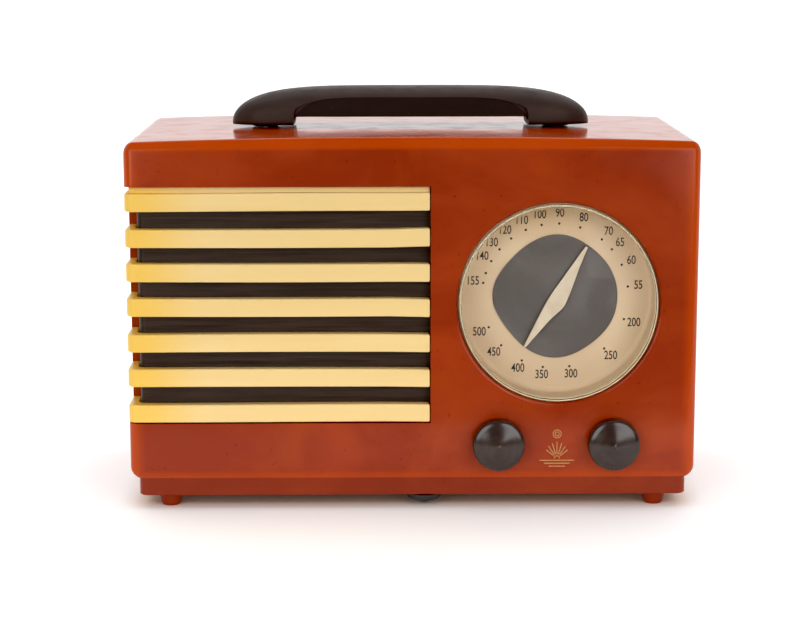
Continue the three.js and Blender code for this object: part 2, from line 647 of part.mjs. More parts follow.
function cordGrommet() {
  const { radius, x, z } = CORD_HOLE;
  const [near, far] = [COVER_Y - GAP, COVER_Y + COVER.thick + GAP];
  const profile = [
    [3.2, near - 1.6], [radius + 1.8, near - 1.6], [radius + 1.8, near], [radius - GAP, near],
    [radius - GAP, far], [radius + 1.8, far], [radius + 1.4, far + 1.2], [3.2, far + 1.2],
    [3.2, near - 1.6],
  ];
  return turnedY(profile, x, z, 16);
}

function baseBolt(y) {
  const under = BASE_Z - GAP;
  const profile = [
    [0, FLOOR_Z + 4], [2, FLOOR_Z + 4], [2, under], [8.7, under], [8.2, under - 2],
    [6, under - 3.4], [3.6, under - 3.4], [3, under - 4.8], [0, under - 4.8],
  ];
  return turnedZ(profile, BASE_BOLT.x, y, 14);
}

// ---- Handle ------------------------------------------------------------------------------
const SCOOP = { end: 59.3, lip: 199.5, depth: 3, flat: 33 };
const BOSS_R = 7;

function handleSide() {
  const { half, top, foot, under, flat } = HANDLE;
  const shape = new THREE.Shape();
  shape.moveTo(-half, foot + 1.8);
  shape.quadraticCurveTo(-half, foot, -half + 2, foot);
  shape.lineTo(-SCOOP.end, foot);
  shape.lineTo(-SCOOP.end, under - 2);
  shape.quadraticCurveTo(-SCOOP.end, under, -SCOOP.end + 2.5, under);
  shape.lineTo(SCOOP.end - 2.5, under);
  shape.quadraticCurveTo(SCOOP.end, under, SCOOP.end, under - 2);
  shape.lineTo(SCOOP.end, foot);
  shape.lineTo(half - 2, foot);
  shape.quadraticCurveTo(half, foot, half, foot + 1.8);
  shape.bezierCurveTo(half, foot + 12, half - 15, top, flat, top);
  shape.lineTo(-flat, top);
  shape.bezierCurveTo(-half + 15, top, -half, foot + 12, -half, foot + 1.8);
  return shape;
}

function handlePlan() {
  const steps = 28;
  const halfWidth = (x) => HANDLE.halfDepth * Math.sqrt(Math.max(0, 1 - Math.abs(x / HANDLE.half) ** 9));
  const near = [];
  for (let i = 0; i <= steps; i += 1) {
    const x = -HANDLE.half * Math.cos((Math.PI * i) / steps);
    near.push([x, -halfWidth(x)]);
  }
  const far = near.slice(1, -1).reverse().map(([x, y]) => [x, -y]);
  return polygon([...near, ...far]);
}

function handleSection() {
  const { halfDepth, top, foot } = HANDLE;
  const shape = new THREE.Shape();
  shape.moveTo(-halfDepth + 2, foot - 1);
  shape.lineTo(halfDepth - 2, foot - 1);
  shape.lineTo(halfDepth, SCOOP.lip - 2);
  shape.bezierCurveTo(halfDepth, top - 1.5, halfDepth - 8, top, 0, top);
  shape.bezierCurveTo(-halfDepth + 8, top, -halfDepth, top - 1.5, -halfDepth, SCOOP.lip - 2);
  return shape;
}

function scoopOutline() {
  const { end, lip, flat } = SCOOP;
  const low = HANDLE.foot - 1;
  const shape = new THREE.Shape();
  shape.moveTo(-end, low);
  shape.lineTo(end, low);
  shape.lineTo(end, HANDLE.under);
  shape.bezierCurveTo(end - 2, lip - 3, end - 10, lip - 2, flat, lip);
  shape.lineTo(-flat, lip);
  shape.bezierCurveTo(-end + 10, lip - 2, -end + 2, lip - 3, -end, HANDLE.under);
  return shape;
}

function handle() {
  const { half, halfDepth, top, foot, postX } = HANDLE;
  const bar = alongY(handleSide(), -halfDepth - 1, halfDepth + 1, 8)
    .intersect(alongZ(handlePlan(), foot - 1, top + 1))
    .intersect(alongX(handleSection(), -half - 1, half + 1, 6));
  const wall = halfDepth - SCOOP.depth;
  return cut(bar, [
    alongY(scoopOutline(), -halfDepth - 1, -wall, 6),
    alongY(scoopOutline(), wall, halfDepth + 1, 6),
    rodZ(BOLT_HOLE - 0.1, foot - 1, foot + 10, postX, 0, 10),
    rodZ(BOLT_HOLE - 0.1, foot - 1, foot + 10, -postX, 0, 10),
  ]);
}

function handleBoss(x) {
  const [low, high] = [SHOULDER_Z + CROWN - 0.4, HANDLE.foot - GAP];
  const profile = [
    [BOLT_HOLE, high], [BOSS_R, high], [BOSS_R, low], [BOLT_HOLE, low], [BOLT_HOLE, high],
  ];
  return turnedZ(profile, x, 0, 16);
}

function handleScrew(x) {
  const profile = [
    [0, HANDLE.foot + 9], [2, HANDLE.foot + 9], [2, CEILING_Z - GAP], [4, CEILING_Z - GAP],
    [4, CEILING_Z - 2], [2.5, CEILING_Z - 3.4], [0, CEILING_Z - 3.4],
  ];
  return turnedZ(profile, x, 0, 12);
}

// ---- Assembly ----------------------------------------------------------------------------
add('cabinet', cabinet(), MATERIAL.cabinet);
for (let i = 0; i < BAR_COUNT; i += 1) add(`grille_bar_${i + 1}`, grilleBar(i), MATERIAL.bar);
add('grille_baffle', baffle(), MATERIAL.baffle);

add('dial_lens', dialLens(), MATERIAL.lens);
add('dial_pan', dialPan(), MATERIAL.plate);
add('dial_centre_disc', dialDisc(), MATERIAL.disc);
add('dial_pointer', pointer(), MATERIAL.pointer);
add('dial_shaft', dialShaft(), MATERIAL.brass);
add('drive_drum', driveDrum(), MATERIAL.aluminium);
add('drive_cord', driveCord(), MATERIAL.cord);

add('tuning_knob', knob(TUNING_X), MATERIAL.knob);
add('tuning_shaft', tuningShaft(), MATERIAL.brass);
add('tuning_bush', tuningBush(), MATERIAL.brass);
add('volume_knob', knob(VOLUME_X), MATERIAL.knob);
add('volume_shaft', volumeShaft(), MATERIAL.brass);
add('volume_control', volumeControl(), MATERIAL.steel);

add('gang_frame', gangFrame(), MATERIAL.steel);
add('gang_rotor', gangRotor(), MATERIAL.aluminium);
add('gang_stator', gangStator(), MATERIAL.aluminium);
add('gang_bracket', gangBracket(), MATERIAL.steel);

add('chassis', chassis(), MATERIAL.steel);
const VALVE_HEIGHTS = [74, 66, 70, 70, 80];
VALVE_X.forEach((x, i) => {
  add(`valve_socket_${i + 1}`, valveSocket(x), MATERIAL.socket);
  add(`valve_${i + 1}`, valve(x, VALVE_HEIGHTS[i]), MATERIAL.glass);
});
add('if_can_1', intermediateCan(10, 40), MATERIAL.aluminium);
add('if_can_2', intermediateCan(112, -8), MATERIAL.aluminium);
add('filter_capacitor', filterCapacitor(), MATERIAL.aluminium);
add('output_transformer', outputTransformer(), MATERIAL.steel);

add('speaker_frame', speakerFrame(), MATERIAL.steel);
add('speaker_surround', speakerSurround(), MATERIAL.paper);
add('speaker_cone', speakerCone(), MATERIAL.paper);
add('speaker_magnet', speakerMagnet(), MATERIAL.magnet);

add('back_cover', backCover(), MATERIAL.board);
postPlaces.forEach((place, i) => add(`back_screw_${i + 1}`, coverScrew(place), MATERIAL.brass));
add('loop_aerial', loopAerial(), MATERIAL.copper);
add('cord_grommet', cordGrommet(), MATERIAL.rubber);
add('base_bolt_front', baseBolt(BASE_BOLT.front), MATERIAL.rubber);
add('base_bolt_rear', baseBolt(BASE_BOLT.rear), MATERIAL.rubber);

add('handle', handle(), MATERIAL.handle);
for (const [side, x] of [['left', -HANDLE.postX], ['right', HANDLE.postX]]) {
  add(`handle_boss_${side}`, handleBoss(x), MATERIAL.handle);
  add(`handle_screw_${side}`, handleScrew(x), MATERIAL.steel);
}

// The knobs stand further out in front than the screw heads do behind.
const FRONTMOST = KNOB.front - KNOB.dome;
const REARMOST = COVER_Y + COVER.thick + GAP + SCREW.dome;
radio.position.y = -(FRONTMOST + REARMOST) / 2;

export default radio;
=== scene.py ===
"""Looks for the carrying table radio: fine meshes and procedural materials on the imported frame."""

import json
import math
import random

import bmesh
import bpy
from mathutils import Matrix, Vector


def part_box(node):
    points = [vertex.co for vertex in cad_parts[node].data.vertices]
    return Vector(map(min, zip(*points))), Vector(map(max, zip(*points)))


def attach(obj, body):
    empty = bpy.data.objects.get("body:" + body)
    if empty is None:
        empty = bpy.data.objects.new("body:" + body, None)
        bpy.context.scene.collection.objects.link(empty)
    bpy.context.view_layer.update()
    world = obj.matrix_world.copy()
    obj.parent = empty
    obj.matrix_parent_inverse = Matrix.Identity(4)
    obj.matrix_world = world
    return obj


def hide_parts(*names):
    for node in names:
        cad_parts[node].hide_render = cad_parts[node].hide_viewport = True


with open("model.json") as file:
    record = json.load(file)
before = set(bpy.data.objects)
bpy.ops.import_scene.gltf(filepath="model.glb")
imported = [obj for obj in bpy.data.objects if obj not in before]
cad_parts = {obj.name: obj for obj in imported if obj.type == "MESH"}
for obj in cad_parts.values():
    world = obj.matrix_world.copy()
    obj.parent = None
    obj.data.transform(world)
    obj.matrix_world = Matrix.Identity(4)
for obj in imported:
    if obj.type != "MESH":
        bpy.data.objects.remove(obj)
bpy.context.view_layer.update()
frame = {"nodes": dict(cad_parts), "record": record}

# ---- Units and places
# Shapes are drawn in millimetres about the cabinet's middle, and set in the frame in metres.
MM = 0.001
cabinet_low, cabinet_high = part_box("cabinet")
MIDDLE = Vector((0, (cabinet_low.y + cabinet_high.y) / 2, 0))
TO_FRAME = Matrix.Translation(MIDDLE) @ Matrix.Scale(MM, 4)


def cad(node):
    """A CAD node's lowest and highest corner, in millimetres about the cabinet's middle."""
    return [(corner - MIDDLE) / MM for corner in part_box(node)]


def middle_of(node):
    low, high = cad(node)
    return (low + high) / 2


LOW, HIGH = cad("cabinet")
SIDE = HIGH.x
FRONT, BACK = LOW.y, HIGH.y
WALL = 5
BASE_Z = 6.5                      # underside of the plinth
BODY_Z = 15.3                     # lower edge of the body
CROWN = 2.3                       # rise of the top from its ends to its middle
SHOULDER_Z = HIGH.z - CROWN
CREASE_Z = 178.2                  # where the chamfer starts, at the cabinet's ends
CORNER_R = 4.5

DIAL = middle_of("dial_lens")
SCOOP_END, SCOOP_LIP = 59.3, 199.5    # how far the handle's scoops reach along it, and up
HOLE_R = (cad("dial_lens")[1].x - cad("dial_lens")[0].x) / 2 + 0.4
KNOBS = {"tuning_knob": "tuning_control", "volume_knob": "volume_knob_body"}
BASE_BODY = "cabinet_body"

# ---- Mesh making


def in_scene(name, data):
    thing = bpy.data.objects.new(name, data)
    bpy.context.scene.collection.objects.link(thing)
    return thing


def new_object(name, verts, faces):
    mesh = bpy.data.meshes.new(name)
    mesh.from_pydata([tuple(v) for v in verts], [], faces)
    mesh.validate()
    piece = in_scene(name, mesh)
    work = bmesh.new()
    work.from_mesh(mesh)
    bmesh.ops.remove_doubles(work, verts=work.verts, dist=1e-4)
    bmesh.ops.recalc_face_normals(work, faces=work.faces)
    work.to_mesh(mesh)
    work.free()
    return piece


def ring_walls(levels, count):
    """Quads that join each ring of count points to the next."""
    faces = []
    for level in range(levels - 1):
        low, high = level * count, (level + 1) * count
        for i in range(count):
            j = (i + 1) % count
            faces.append((low + i, low + j, high + j, high + i))
    return faces


def stack(name, rings, closed_ends=True):
    """Rings of equally many points, joined one to the next; the ends are capped."""
    count = len(rings[0])
    verts = [point for ring in rings for point in ring]
    faces = ring_walls(len(rings), count)
    if closed_ends:
        faces.append(tuple(reversed(range(count))))
        faces.append(tuple(range(len(verts) - count, len(verts))))
    return new_object(name, verts, faces)


def turned(name, profile, centre, axis="Y", segments=96, closed=False):
    """A turned part from [radius, height] pairs; closed if the section stays off the axis."""
    rings = []
    for radius, height in profile:
        ring = []
        for i in range(segments):
            turn = 2 * math.pi * i / segments
            across, up = radius * math.cos(turn), radius * math.sin(turn)
            local = (across, height, up) if axis == "Y" else (across, up, height)
            offset = (centre[0], 0, centre[2]) if axis == "Y" else (centre[0], centre[1], 0)
            ring.append(Vector(local) + Vector(offset))
        rings.append(ring)
    if closed:
        return stack(name, [*rings, rings[0]], closed_ends=False)
    return stack(name, rings)


def quarter(steps, first=1, sweep=math.pi / 2):
    """Angles of a quarter turn in equal steps, by default without its start."""
    return [sweep * i / steps for i in range(first, steps + 1)]


def arc(cx, cy, radius, start, end, steps):
    """Points of an arc, angles in degrees, both ends included."""
    turns = [math.radians(start + (end - start) * i / steps) for i in range(steps + 1)]
    return [(cx + radius * math.cos(t), cy + radius * math.sin(t)) for t in turns]


def rounded_rect(x0, x1, y0, y1, r, steps=6):
    return [
        *arc(x1 - r, y0 + r, r, -90, 0, steps),
        *arc(x1 - r, y1 - r, r, 0, 90, steps),
        *arc(x0 + r, y1 - r, r, 90, 180, steps),
        *arc(x0 + r, y0 + r, r, 180, 270, steps),
    ]


def inset(outline, distance):
    """The outline moved inwards along its corners' bisectors (outline runs anticlockwise)."""
    moved = []
    count = len(outline)
    for i, here in enumerate(outline):
        before, after = Vector(outline[i - 1]), Vector(outline[(i + 1) % count])
        here = Vector(here)
        a, b = (here - before), (after - here)
        if a.length < 1e-9 or b.length < 1e-9:
            a = b = after - before
        a.normalize()
        b.normalize()
        normal = Vector((-a.y - b.y, a.x + b.x))
        spread = max(0.4, normal.length_squared / 2)
        moved.append(tuple(here + normal * distance / spread))
    return moved


AXES = {
    "Z": lambda u, v, h: (u, v, h),
    "Y": lambda u, v, h: (u, -h, v),
    "X": lambda u, v, h: (h, u, v),
}


def slab(name, outline, start, end, edge=0.0, axis="Z", steps=3, ends=(True, True)):
    """An outline carried along an axis, with its two rims rounded by edge.

    Along Y the outline is X, Z and start to end is measured towards the front (-Y)."""
    curve = [(edge * (1 - math.sin(t)), edge * (1 - math.cos(t))) for t in quarter(steps, 0)]
    levels = [(start, 0)]
    if edge and ends[0]:
        levels = [(start + short, inward) for short, inward in reversed(curve)]
    if edge and ends[1]:
        levels += [(end - short, inward) for short, inward in curve]
    else:
        levels.append((end, 0))
    place = AXES[axis]
    rings = [[place(u, v, h) for u, v in (inset(outline, d) if d else outline)] for h, d in levels]
    return stack(name, rings)


def box(name, x0, x1, y0, y1, z0, z1):
    return stack(name, [[(x0, y0, z), (x1, y0, z), (x1, y1, z), (x0, y1, z)] for z in (z0, z1)])


def apply_modifier(piece, kind, **settings):
    modifier = piece.modifiers.new(kind.lower(), kind)
    for key, value in settings.items():
        setattr(modifier, key, value)
    bpy.context.view_layer.update()
    graph = bpy.context.evaluated_depsgraph_get()
    mesh = bpy.data.meshes.new_from_object(piece.evaluated_get(graph))
    piece.modifiers.clear()
    old = piece.data
    piece.data = mesh
    bpy.data.meshes.remove(old)


def combine(piece, others, operation):
    for other in others:
        apply_modifier(piece, "BOOLEAN", object=other, operation=operation, solver="EXACT")
        mesh = other.data
        bpy.data.objects.remove(other)
        bpy.data.meshes.remove(mesh)


def soften(piece, width, segments=3, angle=40):
    apply_modifier(
        piece, "BEVEL", width=width, segments=segments, limit_method="ANGLE",
        angle_limit=math.radians(angle), use_clamp_overlap=True, miter_outer="MITER_ARC",
    )


def settle(piece, finish, body=BASE_BODY, replaces=(), sharp=35, weighted=True):
    """Puts a drawn piece into the frame: metres, shading, material and body."""
    mesh = piece.data
    mesh.transform(TO_FRAME)
    for face in mesh.polygons:
        face.use_smooth = True
    mesh.set_sharp_from_angle(angle=math.radians(sharp))
    if weighted:
        apply_modifier(piece, "WEIGHTED_NORMAL", keep_sharp=True, weight=100)
        mesh = piece.data
    mesh.materials.clear()
    mesh.materials.append(MATERIALS[finish])
    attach(piece, body)
    if replaces:
        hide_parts(*replaces)


# ---- Materials


class NodeWriter:
    """Writes nodes into a tree; every method gives back the socket that carries its result."""

    def __init__(self, tree, coordinates):
        self.nodes = tree.nodes
        self.links = tree.links
        self.place = self.nodes.new("ShaderNodeTexCoord").outputs[coordinates]

    def feed(self, item, socket):
        if isinstance(item, bpy.types.NodeSocket):
            self.links.new(item, socket)
        else:
            socket.default_value = item

    def node(self, kind, outlet, **inputs):
        """A new node, its inputs set or linked by name."""
        node = self.nodes.new("ShaderNode" + kind)
        for key, item in inputs.items():
            self.feed(item, node.inputs[key.replace("_", " ")])
        return node.outputs[outlet]

    def scaled(self, x, y, z):
        return self.node("Mapping", "Vector", Vector=self.place, Scale=(x, y, z))

    def noise(self, scale, detail=3, rough=0.5, vector=None, distortion=0.0):
        return self.node("TexNoise", "Fac", Vector=vector or self.place, Scale=scale, Detail=detail,
                         Roughness=rough, Distortion=distortion)

    def cells(self, scale):
        return self.node("TexVoronoi", "Distance", Vector=self.place, Scale=scale)

    def bands(self, scale, direction, distortion):
        strength = self.node("TexWave", "Fac", Vector=self.place, Scale=scale, Distortion=distortion)
        strength.node.bands_direction = direction
        return strength

    def along(self, axis):
        return self.node("SeparateXYZ", axis, Vector=self.place)

    def math(self, operation, a, b=0.0):
        node = self.nodes.new("ShaderNodeMath")
        node.operation = operation
        self.feed(a, node.inputs[0])
        self.feed(b, node.inputs[1])
        return node.outputs[0]

    def times(self, a, b):
        return self.math("MULTIPLY", a, b)

    def span(self, item, low, high, start=0.0, end=1.0):
        """Eases from start to end as the item goes from low to high."""
        result = self.node("MapRange", "Result", Value=item, From_Min=low, From_Max=high,
                           To_Min=start, To_Max=end)
        result.node.interpolation_type = "SMOOTHSTEP"
        return result

    def mix(self, factor, a, b):
        node = self.nodes.new("ShaderNodeMix")
        node.data_type = "RGBA"
        self.feed(factor, node.inputs["Factor"])
        for item, index in ((a, 6), (b, 7)):
            self.feed((*item, 1.0) if isinstance(item, tuple) else item, node.inputs[index])
        return node.outputs[2]


class Shader(NodeWriter):
    """A material round one Principled BSDF."""

    def __init__(self, name, **sockets):
        self.material = bpy.data.materials.new(name)
        self.material.use_nodes = True
        super().__init__(self.material.node_tree, "Object")
        self.surface = self.nodes["Principled BSDF"]
        for key, value in sockets.items():
            self.surface.inputs[key.replace("_", " ")].default_value = value

    def to(self, socket, source):
        self.links.new(source, self.surface.inputs[socket])

    def tones(self, factor, low, high, a, b):
        """Base colour from one tone to another as the factor goes from low to high."""
        self.to("Base Color", self.mix(self.span(factor, low, high), a, b))

    def polish(self, scale, smooth, rough, detail=3):
        """Roughness that wanders between two values."""
        self.to("Roughness", self.span(self.noise(scale, detail), 0.3, 0.8, smooth, rough))

    def bump(self, height, strength, distance=0.0002):
        self.to("Normal", self.node("Bump", "Normal", Strength=strength, Distance=distance, Height=height))


def edge_glow(s):
    """Painted glow, high where light comes through the cabinet's thin edges: its ends, chamfer and lower
    edge.
    """
    x, y, z = s.along(0), s.along(1), s.along(2)
    ends = s.times(s.span(s.math("ABSOLUTE", x), (SIDE - 9) * MM, SIDE * MM),
                   s.span(y, (FRONT + 5) * MM, (FRONT + 18) * MM, 1, 0.35))
    bow = s.math("POWER", s.math("DIVIDE", x, (SIDE - 4) * MM), 2.0)
    above_crease = s.math("SUBTRACT", z, CREASE_Z * MM)
    over_crease = s.math("ADD", above_crease, s.times(bow, 0.5 * CROWN * MM))
    upper = s.span(over_crease, -0.6 * MM, 1.6 * MM, 0, 0.8)
    above_plinth = s.span(z, BODY_Z * MM, (BODY_Z + 0.4) * MM)
    lower = s.times(s.span(z, (BODY_Z + 5) * MM, (BODY_Z + 0.5) * MM, 0, 0.6), above_plinth)
    return s.math("MAXIMUM", ends, s.math("MAXIMUM", upper, lower)), above_plinth


def phenolic_material():
    """Cast orange phenolic: soft marbling, dark specks, and a painted glow of light along thin edges."""
    s = Shader("cast_phenolic", IOR=1.29)
    swirl = s.noise(9, 4, 0.55, s.scaled(1, 1.4, 1.8), distortion=1.2)
    blotch = s.noise(26, 3, 0.6, distortion=0.6)
    specks = s.noise(420, 2, 0.5)
    body = s.mix(s.span(swirl, 0.38, 0.66), (0.245, 0.030, 0.011), (0.320, 0.044, 0.014))
    body = s.mix(s.span(blotch, 0.45, 0.75, 0.0, 0.45), body, (0.36, 0.057, 0.014))
    body = s.mix(s.span(specks, 0.66, 0.78, 0.0, 0.5), body, (0.12, 0.012, 0.003))
    glow, above_plinth = edge_glow(s)
    # Painted glow: warmer, brighter orange where light shines through the thin ends, chamfer and lower edge.
    body = s.mix(s.times(glow, 0.75), body, (0.52, 0.068, 0.008))
    # Painted shade: the plinth below the body's lower edge is darkened, as under the body's overhang.
    body = s.mix(s.span(above_plinth, 0, 1, 0.45, 0), body, (0.14, 0.016, 0.005))
    s.to("Base Color", body)
    s.polish(60, 0.1, 0.2, 4)
    s.bump(s.noise(70, 2), 0.05, 0.0003)
    return s.material


def cream_material():
    s = Shader("cream_phenolic", IOR=1.5)
    streak = s.noise(26, 3, 0.5, s.scaled(0.2, 1, 3))
    body = s.mix(s.span(streak, 0.25, 0.8), (0.79, 0.565, 0.232), (0.84, 0.615, 0.275))
    corner = s.span(s.along(0), (-SIDE + 42) * MM, (-SIDE + 3) * MM)
    body = s.mix(s.times(corner, 0.85), body, (0.82, 0.495, 0.055))
    body = s.mix(s.span(s.noise(500, 2), 0.68, 0.8, 0.0, 0.15), body, (0.62, 0.40, 0.15))
    s.to("Base Color", body)
    s.polish(90, 0.29, 0.36)
    s.bump(s.noise(140, 2), 0.04, 0.0002)
    return s.material


def baffle_material():
    s = Shader("baffle_board", IOR=1.33)
    grain = s.noise(900, 3, 0.6, s.scaled(0.03, 1, 1))
    patch = s.noise(40, 3)
    body = s.mix(s.span(grain, 0.3, 0.75), (0.026, 0.015, 0.010), (0.046, 0.029, 0.021))
    body = s.mix(s.span(patch, 0.5, 0.8, 0, 0.5), body, (0.045, 0.027, 0.02))
    s.to("Base Color", body)
    s.to("Roughness", s.span(grain, 0.2, 0.8, 0.32, 0.5))
    s.bump(grain, 0.25, 0.0002)
    return s.material


def lens_material():
    s = Shader("lens", IOR=1.12, Transmission_Weight=1.0)
    s.tones(s.noise(35, 4), 0.35, 0.8, (1.0, 1.0, 0.995), (0.99, 0.985, 0.96))
    s.to("Roughness", s.span(s.noise(120, 3), 0.4, 0.9, 0.015, 0.05))
    return s.material


def lens_edge_material():
    """The lens's edge ring, coloured cream as a painted highlight of the light the lens's rim catches."""
    s = Shader("lens_edge", Roughness=0.5, IOR=1.4)
    s.tones(s.noise(200, 3), 0.3, 0.8, (0.92, 0.80, 0.56), (0.86, 0.70, 0.44))
    s.bump(s.noise(900, 2), 0.1, 0.0001)
    return s.material


def dial_material():
    s = Shader("dial_paint", Roughness=0.55, IOR=1.45)
    tone = s.noise(18, 4, 0.5, distortion=0.5)
    body = s.mix(s.span(tone, 0.35, 0.7), (0.71, 0.54, 0.355), (0.78, 0.61, 0.41))
    stain = s.times(s.span(s.along(0), (DIAL.x + 18) * MM, (DIAL.x + 46) * MM),
                    s.span(s.along(2), (DIAL.z + 2) * MM, (DIAL.z + 30) * MM))
    body = s.mix(s.times(stain, 0.5), body, (0.60, 0.41, 0.20))
    # Painted shade: the plate darkens towards the top, where the opening's upper rim shades it.
    upper = s.span(s.along(2), (DIAL.z + 18) * MM, (DIAL.z + 46) * MM)
    body = s.mix(s.times(upper, 0.45), body, (0.62, 0.43, 0.22))
    body = s.mix(s.span(s.noise(260, 3), 0.62, 0.8, 0, 0.3), body, (0.56, 0.40, 0.24))
    s.to("Base Color", body)
    s.bump(s.noise(300, 2), 0.08)
    return s.material


def disc_material():
    s = Shader("dial_disc", Roughness=0.6, IOR=1.45)
    tone = s.noise(28, 4, 0.5, distortion=0.8)
    fibre = s.noise(900, 3, 0.6)
    body = s.mix(s.span(tone, 0.3, 0.75), (0.105, 0.092, 0.087), (0.155, 0.138, 0.131))
    body = s.mix(s.span(fibre, 0.55, 0.8, 0, 0.25), body, (0.07, 0.062, 0.06))
    s.to("Base Color", body)
    s.bump(fibre, 0.06, 0.0001)
    return s.material


def pointer_material():
    s = Shader("pointer_paint", Roughness=0.45, IOR=1.45)
    s.tones(s.noise(140, 3), 0.4, 0.75, (0.72, 0.62, 0.47), (0.66, 0.54, 0.39))
    s.bump(s.noise(500, 2), 0.05)
    return s.material


def ink_material():
    s = Shader("dial_ink", Roughness=0.6)
    s.to("Base Color", s.mix(s.noise(900, 2), (0.018, 0.01, 0.006), (0.04, 0.022, 0.013)))
    return s.material


def gilt_material():
    s = Shader("gilt", Roughness=0.4, Metallic=0.35)
    s.tones(s.noise(1400, 3), 0.35, 0.7, (0.42, 0.22, 0.06), (0.54, 0.33, 0.13))
    s.bump(s.noise(1400, 2), 0.2, 0.0001)
    return s.material


def knob_material():
    s = Shader("knob_plastic", IOR=1.52)
    swirl = s.noise(60, 4, 0.6, distortion=1.5)
    s.tones(swirl, 0.35, 0.75, (0.024, 0.012, 0.009), (0.039, 0.022, 0.017))
    s.polish(160, 0.16, 0.25)
    s.bump(s.noise(220, 2), 0.05)
    return s.material


def under_arch(s):
    """Painted shade: high inside the scoop along the handle's sides, under its arched lip."""
    lip_drop, sharpness, soft = 10, 8.0, 0.3
    reach = s.math("DIVIDE", s.math("ABSOLUTE", s.along(0)), SCOOP_END * MM)
    arch_drop = s.times(s.math("POWER", reach, sharpness), lip_drop * MM)
    over_arch = s.math("ADD", s.math("SUBTRACT", s.along(2), (SCOOP_LIP - 0.2) * MM), arch_drop)
    return s.times(s.span(over_arch, soft * MM, -soft * MM), s.span(reach, 1.004, 0.998))


def handle_material():
    s = Shader("handle_plastic", IOR=1.22)
    tone = s.noise(50, 4, 0.6, s.scaled(0.4, 1, 1))
    specks = s.span(s.noise(900, 2), 0.7, 0.8)
    body = s.mix(s.span(tone, 0.3, 0.75), (0.038, 0.024, 0.020), (0.054, 0.036, 0.031))
    # Painted shade: the scoops under the grip's lip are darkened.
    body = s.mix(s.times(under_arch(s), 0.75), body, (0.010, 0.006, 0.005))
    s.to("Base Color", s.mix(s.times(specks, 0.5), body, (0.10, 0.08, 0.07)))
    s.polish(120, 0.42, 0.58)
    s.bump(s.noise(600, 3), 0.12, 0.0002)
    return s.material


def metal_material(name, light, dark, roughness, grain=(1, 1, 1)):
    s = Shader(name, Metallic=1.0)
    s.tones(s.noise(40, 4, 0.6), 0.35, 0.75, light, dark)
    lines = s.noise(700, 2, 0.5, s.scaled(*grain))
    s.to("Roughness", s.span(lines, 0.3, 0.8, roughness - 0.08, roughness + 0.1))
    s.bump(lines, 0.12, 0.0001)
    return s.material


def plain_material(name, light, dark, roughness, scale, strength=0.15, depth=0.0002, stretch=(1, 1, 1)):
    """Non-metals told apart by two tones, the size of their grain and how rough it stands."""
    s = Shader(name)
    grain = s.noise(scale, 4, 0.6, s.scaled(*stretch))
    s.tones(grain, 0.3, 0.75, light, dark)
    s.polish(scale * 0.4, roughness - 0.08, roughness + 0.08)
    s.bump(grain, strength, depth)
    return s.material


def board_material():
    s = Shader("back_board", Roughness=0.75)
    fibre = s.noise(500, 4, 0.65, s.scaled(1, 1, 0.6), distortion=1.2)
    flecks = s.span(s.cells(240), 0.0, 0.35)
    body = s.mix(s.span(fibre, 0.3, 0.75), (0.085, 0.045, 0.024), (0.17, 0.095, 0.05))
    dark = s.times(s.math("SUBTRACT", 1.0, flecks), 0.4)
    s.to("Base Color", s.mix(dark, body, (0.05, 0.026, 0.014)))
    s.bump(fibre, 0.35, 0.0003)
    return s.material


def cord_material():
    s = Shader("woven_cord", Roughness=0.85)
    twist = s.bands(900, "DIAGONAL", 0.4)
    s.to("Base Color", s.mix(twist, (0.30, 0.24, 0.14), (0.50, 0.42, 0.28)))
    s.bump(twist, 0.6, 0.0002)
    return s.material


def wound_material():
    s = Shader("aerial_copper", Metallic=0.8, Roughness=0.35)
    turns = s.noise(900, 1, 0.3)
    s.to("Base Color", s.mix(turns, (0.26, 0.09, 0.035), (0.48, 0.2, 0.08)))
    s.bump(turns, 0.4, 0.0003)
    return s.material


def valve_glass_material():
    s = Shader("valve_glass", Roughness=0.05, IOR=1.46, Transmission_Weight=1.0)
    s.tones(s.noise(60, 3), 0.4, 0.8, (0.96, 0.96, 0.95), (0.82, 0.80, 0.76))
    return s.material


# Light tone, dark tone, roughness and, where brushed or spun, how the grain is stretched.
METALS = {
    "plated_steel": ((0.50, 0.48, 0.42), (0.36, 0.34, 0.30), 0.42),
    "screw_steel": ((0.60, 0.59, 0.56), (0.42, 0.41, 0.39), 0.35),
    "brass": ((0.66, 0.47, 0.20), (0.45, 0.31, 0.13), 0.34),
    "spun_aluminium": ((0.74, 0.74, 0.73), (0.55, 0.55, 0.54), 0.34, (1, 1, 0.05)),
    "getter": ((0.32, 0.31, 0.30), (0.12, 0.11, 0.10), 0.3),
}
